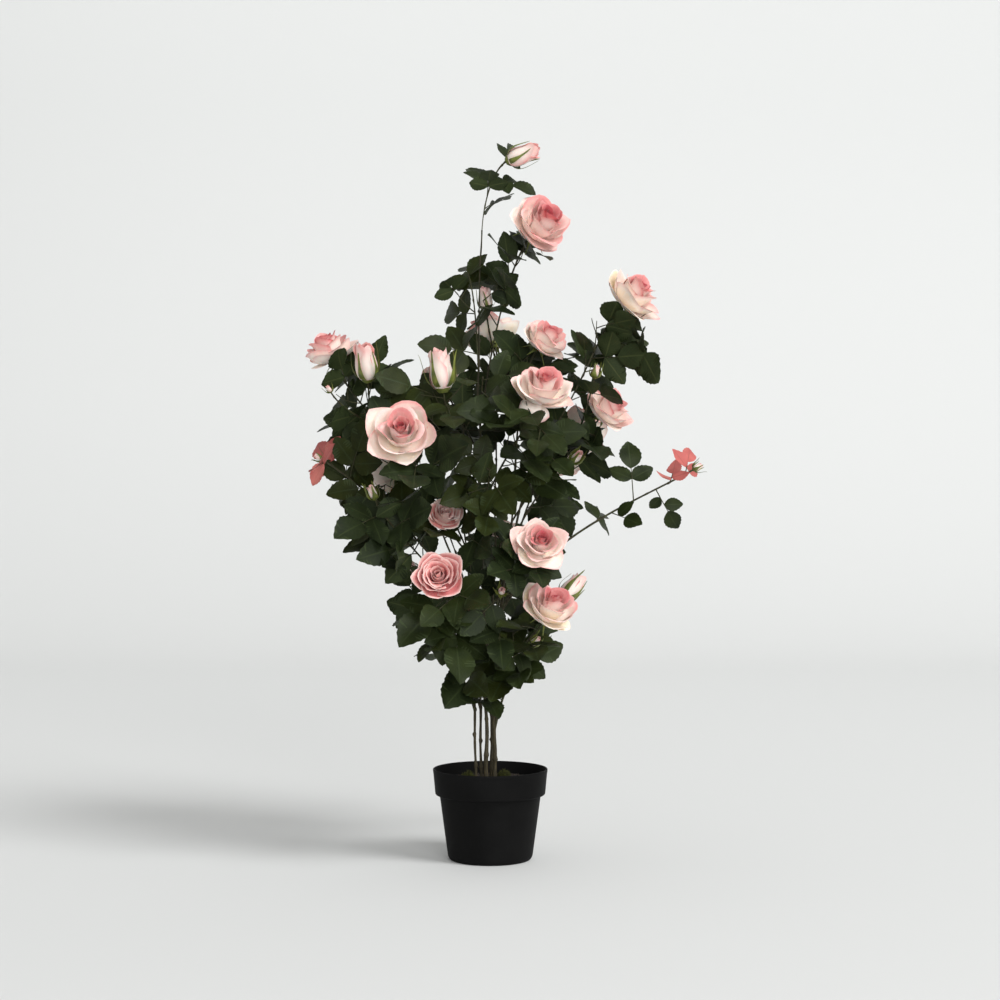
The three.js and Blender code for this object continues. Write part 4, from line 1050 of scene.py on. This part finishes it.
def put_leaves(name, leaflets, front_finish, back_finish, nodes):
    """Leaflets joined into one piece, with their own finish on the back."""
    points, quads = sheets(leaflet_grids(leaflets, leaf_rng), LEAF_THICKNESS)
    piece = put_mesh(name, points * MM, quads)
    count = len(leaflets)
    put_uv(piece.data, count, [0, 0.5, 1.0], np.linspace(0, 1, LEAF_STATIONS))
    faces = len(quads) // count
    is_back = np.tile(np.arange(faces) >= faces // 2, count)
    piece.data.materials.append(front_finish)
    piece.data.materials.append(back_finish)
    piece.data.polygons.foreach_set("material_index", is_back.astype(np.int32))
    piece.data.set_sharp_from_angle(angle=SHARP_LEAF)
    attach(piece, "root")
    if nodes:
        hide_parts(*nodes)


# Each leaflet turns on its stalk towards the side that the bush is seen from: the young ones most, the
# green ones less the further back they are, and not where that would hide more of a bloom.
FRONT_LOOK = unit((0, -1, 0.35))
YOUNG_TURN, GREEN_TURN = 0.8, 0.7
FRONT_DEPTH = 60
all_leaves = [leaf for spray in sprays.values() for leaf in spray["grown"]]
all_leaflets = [leaflet for leaf in all_leaves for leaflet in leaf["leaflets"]]
for leaflet in all_leaflets:
    nearness = np.clip(1 - leaflet["root"][1] / FRONT_DEPTH, 0, 1)
    pull = YOUNG_TURN if leaflet["young"] else GREEN_TURN * nearness
    if not clear_of_fronts(leaf_samples(leaflet)):
        pull = 0
    face = leaflet["normal"] + pull * FRONT_LOOK * np.sign(leaflet["normal"] @ FRONT_LOOK)
    leaflet["normal"] = unit(face - leaflet["axis"] * (face @ leaflet["axis"]))

for number, (finish_name, (dark, light, roughness)) in enumerate(LEAF_FINISHES.items()):
    names = spray_names[number::3]
    leaves = [leaf for name in names for leaf in sprays[name]["grown"]]
    leaflets = [leaflet for leaf in leaves for leaflet in leaf["leaflets"] if not leaflet["young"]]
    front = leaf_finish("leaf_" + finish_name, dark, light, roughness, GREEN_VEIN)
    put_leaves("leaves_" + finish_name, leaflets, front, leaf_back, [name + "_foliage" for name in names])

# The young leaves at three shoot tips are dyed salmon pink.
young_leaflets = [leaflet for leaflet in all_leaflets if leaflet["young"]]
young_front = leaf_finish("young_leaf", (0.42, 0.095, 0.088), (0.56, 0.155, 0.135), 0.5, (0.36, 0.1, 0.085))
young_back = leaf_finish("young_leaf_back", (0.46, 0.14, 0.12), (0.56, 0.2, 0.17), 0.6, (0.44, 0.15, 0.12))
put_leaves("young_leaves", young_leaflets, young_front, young_back, [])

# ---------- stems and stalks ----------
# A spray's stem is thinner wire in a sleeve of dull green mottled with brown, pushed over the tip of its
# bough. Side twigs, finer twigs and leaf stalks are drawn over thin wire in the same plastic.
STEM_SIDES, STEM_RINGS = 8, 44
STEM_BARK = 0.45  # depth of its relief as a share of a cane's
FINER_RADIUS = (1.0, 0.6)
TWIG_SIDES, TWIG_RINGS = 6, 8
STALK_SIDES, STALK_RINGS = 5, 5
STALK_RADIUS = (0.95, 0.55)
STEM_TONES = [(0.3, (0.028, 0.022, 0.012)), (0.7, (0.055, 0.06, 0.022))]
stem_green = mottled_finish("stem_green", 0.6, 0.25, (160, 4), STEM_TONES, (0.3, 0.0003))
stem_paths, stem_radii = [], []
for spray in sprays.values():
    for stem in spray["stems"]:
        share = np.linspace(stem["from"], 1, STEM_RINGS)
        path = bezier(stem["knots"], share)
        length = np.linalg.norm(np.diff(path, axis=0), axis=1).sum()
        relief = bark_relief(np.linspace(0, length, STEM_RINGS), STEM_SIDES, leaf_rng, STEM_BARK)
        stem_paths.append(path)
        stem_radii.append(np.broadcast_to(stem["radius"](share), STEM_RINGS)[:, None] + relief)
points, quads, tris = tubes(np.array(stem_paths), np.array(stem_radii), STEM_SIDES)
stems_piece = put_mesh("spray_stems", points * MM, quads, tris)

share = np.linspace(0, 1, TWIG_RINGS)
twig_paths = np.array([bezier(knots, share) for spray in sprays.values() for knots in spray["twigs"]])
twig_taper = FINER_RADIUS[0] + (FINER_RADIUS[1] - FINER_RADIUS[0]) * share
points, quads, tris = tubes(twig_paths, np.broadcast_to(twig_taper, twig_paths.shape[:2]), TWIG_SIDES)
twigs_piece = put_mesh("finer_twigs", points * MM, quads, tris)

# A stalk bows a little to its leaf's face, and runs on under the end leaflet.
share = np.linspace(0, 1, STALK_RINGS)
foot, axis, normal = (
    np.array([leaf[key] for leaf in all_leaves])[:, None] for key in ("foot", "axis", "normal")
)
reach = np.array([leaf["reach"] for leaf in all_leaves])[:, None, None]
stalk_run = axis * reach * (1.04 * share)[:, None]
stalk_bow = normal * 0.03 * reach * np.sin(np.pi * share)[:, None]
stalk_paths = foot + stalk_run + stalk_bow
stalk_taper = STALK_RADIUS[0] + (STALK_RADIUS[1] - STALK_RADIUS[0]) * share
points, quads, tris = tubes(stalk_paths, np.broadcast_to(stalk_taper, stalk_paths.shape[:2]), STALK_SIDES)
stalks_piece = put_mesh("leaf_stalks", points * MM, quads, tris)
for piece in (stems_piece, twigs_piece, stalks_piece):
    piece.data.materials.append(stem_green)
    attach(piece, "root")

# ---------- petals ----------
# Petals are cut from pale fabric, hand-dyed salmon towards the heart, and cupped with a hot iron. They are
# glued round a core in a spiral: tight and upright in the middle, wide and rolled back outside.
PETAL_ACROSS, PETAL_ALONG = 11, 11
PETAL_THICKNESS = 0.4
SHARP_PETAL = math.radians(85)
PETAL_ROLL_START = 0.72  # share of a petal's length where its rim begins to roll back
petal_rng = np.random.default_rng(23)
rim_rng = np.random.default_rng(31)
petal_across = np.linspace(-1, 1, PETAL_ACROSS)[:, None]
petal_along = (1 - (1 - np.linspace(0, 1, PETAL_ALONG)) ** 1.35)[None]  # closer together near the rim


def petal_grids(whorls, size, rng, hang=0.0, belly=0.0):
    """One bloom's petals about its own axis. A petal's radius and height run along a cubic curve from the
    core, out round the belly and up to the rim. Its angle is its half width times the share across, and one
    side tucks in under the next petal. Past the roll start it leaves the cubic along an arc that turns
    outwards, its sides further than its middle, which leaves a point in the middle of the rim. Sines across
    it ruffle the rim. The first petal of the last whorl hangs open by the share hang. belly swells the
    cubic's middle."""
    counts = [row[0] for row in whorls]
    start_turn = [GOLDEN_TURN * (len(counts) - 1 - k) for k in range(len(counts))]
    turn = np.concatenate([2 * np.pi * np.arange(n) / n + start for n, start in zip(counts, start_turn)])
    rim, top, half, roll, cut, pinch = (
        np.repeat([row[i] for row in whorls], counts)[:, None, None] for i in range(1, 7)
    )
    u, v = petal_across[None], petal_along[None]
    hanging = np.zeros((len(turn), 1, 1))
    hanging[len(turn) - counts[-1]] = hang

    def spread(low, high):
        return rng.uniform(low, high, (len(turn), 1, 1))

    def along_cubic(share, knots):
        a, b, c, d = knots
        rest = 1 - share
        place = rest**3 * a + 3 * rest**2 * share * b + 3 * rest * share**2 * c + share**3 * d
        way = 3 * (rest**2 * (b - a) + 2 * rest * share * (c - b) + share**2 * (d - c))
        return place, way

    angle_at = turn[:, None, None] + spread(-0.13, 0.13) * (hanging == 0)
    v = v * (1 - cut * np.abs(u) ** 1.3)
    rim = rim * spread(0.9, 1.1) - 0.38 * hanging
    top = top + spread(-0.06, 0.06) - 1.25 * hanging
    knots_r = (0.04, 0.12 + 0.5 * rim + belly, 0.1 + 1.06 * rim + belly, rim)
    knots_h = (-0.5, -0.56, -0.12 + 0.35 * top - 0.12 * rim, top)
    flat = np.minimum(v, PETAL_ROLL_START)
    past = v - flat
    (r, way_r), (h, way_h) = along_cubic(flat, knots_r), along_cubic(flat, knots_h)
    curl = roll * spread(0.45, 1.5) * (0.5 + 1.7 * u**2 + 1.1 * spread(-1, 1) * u)
    bend = np.maximum(curl * past / (1 - PETAL_ROLL_START), 1e-4)
    ahead, aside = np.sin(bend) / bend, (1 - np.cos(bend)) / bend
    r, h = r + past * (way_r * ahead + way_h * aside), h + past * (way_h * ahead - way_r * aside)
    r = r * (1 - pinch * np.abs(u) ** 1.3 * v**2)
    r = r + 0.045 * u * (0.3 + rim) + 0.02 * np.sin(5 * u + spread(0, 6)) * v**2
    r = r + 0.014 * np.sin(9 * u + spread(0, 6)) * v**4
    h = h + 0.045 * rim * np.sin(4.2 * u + spread(0, 6)) * v**3
    h = h + 0.3 * rim * spread(-1, 1) * u * v**2 * (rim < 0.9)
    spread_half = half * spread(0.92, 1.08) * (0.4 + 0.6 * np.sin(np.pi / 2 * np.clip(v / 0.5, 0, 1)))
    angle = angle_at + spread_half * (1 + 0.45 * hanging) * u + 0 * v
    return np.stack([r * np.cos(angle), r * np.sin(angle), h + 0 * angle], -1) * size


def faced(grids, middle, facing, spin, low=False):
    """Grids about the upright axis, spun round it, then turned so that it looks along facing, and moved.
    With low, the spin starts from the side that is nearest the ground."""
    across = unit(np.cross(facing, (0.3, 0.2, 1) if abs(facing[2]) < 0.9 else (1, 0.2, 0)))
    other = np.cross(facing, across)
    if low:
        spin = spin + math.atan2(-other[2], -across[2])
    first = across * math.cos(spin) + other * math.sin(spin)
    second = other * math.cos(spin) - across * math.sin(spin)
    return middle + grids @ np.array([first, second, facing])


# Whorls from the heart outwards: petals, radius and height of the rim, half width as an angle, roll, and
# how far the rim's sides are cut back and drawn in.
BLOOM_WHORLS = {
    "rose": [
        (3, 0.06, 0.4, 2.0, 0.1, 0.08, 0.0),
        (3, 0.16, 0.52, 1.8, 0.5, 0.12, 0.02),
        (3, 0.28, 0.56, 1.45, 1.0, 0.2, 0.04),
        (3, 0.47, 0.42, 1.3, 1.5, 0.24, 0.08),
        (4, 0.75, 0.2, 1.05, 1.6, 0.3, 0.14),
        (5, 0.96, -0.04, 0.84, 1.3, 0.36, 0.2),
    ],
    "rosette": [
        (3, 0.07, 0.3, 2.0, 0.2, 0.08, 0.0),
        (4, 0.18, 0.33, 1.5, 0.5, 0.08, 0.0),
        (4, 0.32, 0.34, 1.3, 0.8, 0.1, 0.02),
        (5, 0.48, 0.32, 1.05, 1.0, 0.1, 0.03),
        (5, 0.68, 0.24, 0.95, 1.2, 0.2, 0.08),
        (5, 0.92, 0.06, 0.88, 1.5, 0.3, 0.14),
    ],
    "bud": [
        (2, 0.04, 0.62, 2.4, 0.1, 0.16, 0.0),
        (3, 0.08, 0.6, 1.9, 0.4, 0.22, 0.02),
        (3, 0.12, 0.53, 1.5, 0.7, 0.3, 0.08),
    ],
}


def petal_dye(age, kind, rng):
    """How deep the dye is on the outside and the inside of each petal: deeper in the heart, at the rim and
    inside, and golden at the foot of the outer petals. No two petals took the dye alike: one in four took
    more, and on roses some have a pinker edge. The rosettes are dyed through, and a bud's petals at their
    sides."""
    u, v = petal_across[None], petal_along[None]
    age = age[:, None, None]
    rim = np.clip((v - 0.76) / 0.24, 0, 1) ** 1.2
    foot = np.clip((0.75 - v) / 0.6, 0, 1)
    uptake = rng.uniform(-0.07, 0.09, age.shape) + 0.15 * (rng.uniform(0, 1, age.shape) < 0.25)
    edge = rim_rng.uniform(0, 1, age.shape) ** 1.4 * rim**1.5
    if kind == "rosette":
        outside = 0.38 + 0.16 * (1 - age) - 0.06 * rim + 0.3 * uptake
        inside = 0.74 - 0.34 * rim + 0.06 * (1 - age) + 0.08 * foot + 0.3 * uptake
    elif kind == "bud":
        outside = 0.22 + 0.2 * rim + 0.34 * np.abs(u) ** 4 + 0.12 * (1 - age)
        inside = 0.45 + 0.12 * rim + 0 * u
    else:
        outside = 0.15 + 0.2 * (1 - age) ** 1.5 + 0.46 * rim * (1 - 0.65 * age) + 0.1 * np.abs(u) ** 3
        outside = outside + 0.25 * edge + 0.5 * uptake
        gold = 1.2 * foot * age * (1 - age) * (age > 0.4)
        inside = 0.18 + 0.72 * (1 - age) ** 1.2 + 0.55 * edge - gold + uptake
    full = (len(age), PETAL_ACROSS, PETAL_ALONG)
    return np.broadcast_to(outside, full), np.broadcast_to(inside, full)


# By spray: how much paler its bloom is, as less dye taken, and on left_inner as painted light that lifts a
# rosette sitting in shade; then how far its lowest petal hangs open, and how far round it hangs.
PALE_DYE_AND_PAINTED_LIGHT = {"left_inner": 0.15, "left_front": 0.09, "right_front": 0.05, "right_high": 0.03}
HANGING = {"front_upper": 1.0, "low_right_rose": 0.5, "left_high": 0.4, "upper_rose": 0.35}
HANG_TURN = {"front_upper": -0.75, "low_right_rose": 0.8}
BUD_BELLY = 0.19
BUD_SEAT = 0.46
BIG_BUD, MIDDLE_BUD = 30, 19
bloom_stock = {kind: [] for kind in BLOOM_WHORLS}
dye_stock = {kind: [] for kind in BLOOM_WHORLS}
calyx_seats = {"bud": [], "rose": []}
for name, spray in sprays.items():
    for stem in spray["stems"]:
        if not stem["bloom"]:
            continue
        kind, size, at, facing = stem["bloom"]
        whorls = BLOOM_WHORLS[kind]
        age = np.repeat(np.linspace(0, 1, len(whorls)), [row[0] for row in whorls])
        if kind == "bud":
            middle, scale = at + facing * BUD_SEAT * size, (0.92 if size > BIG_BUD else 0.8) * size
        else:
            middle, scale = at + facing * ROSE_SEAT * size, size
        calyx_seats["bud" if kind == "bud" else "rose"].append((at, facing, size))
        hang = HANGING.get(name, petal_rng.uniform(0.05, 0.3)) if kind == "rose" else 0
        grids = petal_grids(whorls, scale, petal_rng, hang, BUD_BELLY if kind == "bud" else 0)
        spin = HANG_TURN.get(name, petal_rng.uniform(-0.8, 0.8))
        bloom_stock[kind].append(faced(grids, middle, facing, spin, low=True))
        # A bloom's dye shifts by a random amount, less its share from the table above, which on left_inner is
        # painted light against the shade that the rosette sits in.
        deeper = petal_rng.uniform(-0.06, 0.08) - PALE_DYE_AND_PAINTED_LIGHT.get(name, 0)
        dye_stock[kind].append([side + deeper for side in petal_dye(age, kind, petal_rng)])


def petal_finish(name, steps, roughness):
    """Dyed fabric: the dye's depth picks the colour, with fine streaks along the petal, a soft cloud and a
    light weave. The streaks and the cloud add a share of themselves to the depth, less their mean."""
    material, shader, add, join = new_finish(name, roughness, steps[0][1], 0.25)
    shader.inputs["Sheen Weight"].default_value = 0.12
    shader.inputs["Subsurface Weight"].default_value = 0.13
    shader.inputs["Subsurface Radius"].default_value = (1.0, 0.35, 0.28)
    shader.inputs["Subsurface Scale"].default_value = 0.0015
    sheet = add("UVMap", uv_map="sheet")
    spot = add("TexCoord")
    dye = add("Attribute", attribute_name="dye")
    stretch = add("Mapping", Scale=(26, 1.6, 1))
    streak = add("TexNoise", Scale=1.0, Detail=3)
    cloud = add("TexNoise", Scale=70, Detail=3)
    weave = add("TexNoise", Scale=1300, Detail=2)
    tone = tone_steps(add, steps)
    bump = add("Bump", Strength=0.25, Distance=0.0005)
    join(sheet.outputs["UV"], stretch.inputs["Vector"])
    join(stretch.outputs["Vector"], streak.inputs["Vector"])
    join(spot.outputs["Object"], cloud.inputs["Vector"])
    join(spot.outputs["Object"], weave.inputs["Vector"])
    streaked = figure(add, join, "MULTIPLY_ADD", streak.outputs["Fac"], 0.16, dye.outputs["Fac"])
    clouded = figure(add, join, "MULTIPLY_ADD", cloud.outputs["Fac"], 0.2, streaked)
    join(figure(add, join, "SUBTRACT", clouded, 0.18), tone.inputs["Fac"])
    join(tone.outputs["Color"], shader.inputs["Base Color"])
    join(figure(add, join, "ADD", streak.outputs["Fac"], weave.outputs["Fac"]), bump.inputs["Height"])
    join(bump.outputs["Normal"], shader.inputs["Normal"])
    return material


GOLDEN = (0.93, 0.73, 0.46)
CREAM = (0.95, 0.85, 0.76)
BLUSH = (0.92, 0.66, 0.61)
SALMON = (0.81, 0.345, 0.33)
DEEP_ROSE = (0.6, 0.12, 0.14)
DYE_STEPS = [(0.0, GOLDEN), (0.17, CREAM), (0.4, BLUSH), (0.7, SALMON), (1.0, DEEP_ROSE)]
petal_fabric = petal_finish("petal_fabric", DYE_STEPS, 0.6)
for kind, stock in bloom_stock.items():
    grids = np.concatenate(stock)
    outside, inside = (np.concatenate([dye[side] for dye in dye_stock[kind]]) for side in (0, 1))
    points, quads = sheets(grids, PETAL_THICKNESS)
    petals = put_mesh(kind + "_petals", points * MM, quads)
    put_uv(petals.data, len(grids), np.linspace(0, 1, PETAL_ACROSS), np.linspace(0, 1, PETAL_ALONG))
    put_on_points(petals.data, "dye", front_and_back(outside, inside))
    petals.data.materials.append(petal_fabric)
    petals.data.set_sharp_from_angle(angle=SHARP_PETAL)
    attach(petals, "root")

# ---------- calyxes ----------
# Under each bloom is a moulded green cup with five sepals. On a bud they stand up round it and curl
# out at their tips, and under a rose they hang back.

# Each kind has rows of sepals by the least size of the bloom: radii and heights of their curve, and half
# width. Then come its cup's foot, least radius and swelling, and the stretch of the sine that it swells by.
CALYXES = {
    "bud": ([
        (BIG_BUD, (0.08, 0.52, 0.36, 0.36), (0.03, 0.1, 0.62, 0.92), 0.088),
        (MIDDLE_BUD, (0.1, 0.58, 0.4, 0.3), (0.0, 0.1, 0.75, 1.12), 0.24),
        (0, (0.1, 0.6, 0.5, 0.75), (0.0, 0.05, 0.6, 0.95), 0.2),
    ], (-0.08, 0.05, 0.15, 0.12, 0.62)),
    "rose": ([
        (0, (0.08, 0.24, 0.34, 0.44), (0.06, 0.0, -0.08, -0.3), 0.08),
    ], (-0.06, 0.03, 0.12, 0.1, 0.6)),
}
CUP_LENGTH = 0.26
CUP_RINGS, CUP_SIDES = 9, 10
SEPAL_ACROSS, SEPAL_ALONG = 5, 12
SEPAL_THICKNESS = 0.4
sepal_across = np.linspace(-1, 1, SEPAL_ACROSS)[None, :, None]
sepal_along = np.linspace(0, 1, SEPAL_ALONG)[None, None]


def sepal_grids(radii, heights, width, rng):
    """Five sepals about the upright axis: radius and height run along a cubic curve, and the half width
    swells near the foot and narrows to a thread. Each bends its own way towards the tip, to one side and
    outwards, by a power of the share along."""
    v = sepal_along
    sway = rng.uniform(-1, 1, (5, 1, 1))
    reach = rng.uniform(0.9, 1.1, (5, 1, 1))
    blend_in = [(1 - v) ** 3, 3 * (1 - v) ** 2 * v, 3 * (1 - v) * v**2, v**3]
    r = sum(weight * value for weight, value in zip(blend_in, radii))
    r = r + 0.22 * np.maximum(sway, -0.1) * v**2.5
    h = sum(weight * value for weight, value in zip(blend_in, heights)) * reach
    half = width * (0.5 + 0.5 * np.sin(np.pi * np.clip(v * 1.6, 0, 1))) * (1 - v) ** 0.55 + 0.009
    turn = 2 * np.pi / 5 * np.arange(5)[:, None, None]
    side = half * sepal_across
    bow = -0.25 * width * (1 - sepal_across**2) * (1 - v)
    x, y = r - bow, side + 0.16 * sway * v**2
    return np.stack([x * np.cos(turn) - y * np.sin(turn), x * np.sin(turn) + y * np.cos(turn), h + 0 * x], -1)


sepal_stock, cup_paths, cup_radii = [], [], []
cup_share = np.linspace(0, 1, CUP_RINGS)
for kind, (rows, (low, least, swelling, sine_start, sine_run)) in CALYXES.items():
    swell = least + swelling * np.sin(np.pi * (sine_start + sine_run * cup_share))
    for at, facing, size in calyx_seats[kind]:
        radii, heights, width = next(shape for above, *shape in rows if size > above)
        grids = sepal_grids(radii, heights, width, petal_rng)
        sepal_stock.append(faced(grids * size, at, facing, petal_rng.uniform(0, 6)))
        cup_paths.append(at + facing * size * (low + CUP_LENGTH * cup_share)[:, None])
        cup_radii.append(size * swell)
sepal_points, sepal_quads = sheets(np.concatenate(sepal_stock), SEPAL_THICKNESS)
cup_points, cup_quads, cup_tris = tubes(np.array(cup_paths), np.array(cup_radii), CUP_SIDES)
calyxes = put_mesh(
    "calyxes",
    np.concatenate([sepal_points, cup_points]) * MM,
    np.concatenate([sepal_quads, cup_quads + len(sepal_points)]),
    cup_tris + len(sepal_points),
)
CALYX_TONES = [(0.32, (0.07, 0.09, 0.015)), (0.7, (0.19, 0.215, 0.038))]
calyx_green = mottled_finish("calyx_green", 0.55, 0.5, (90, 3), CALYX_TONES, (0.3, 0.0004))
calyxes.data.materials.append(calyx_green)
calyxes.data.set_sharp_from_angle(angle=SHARP_PETAL)
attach(calyxes, "root")
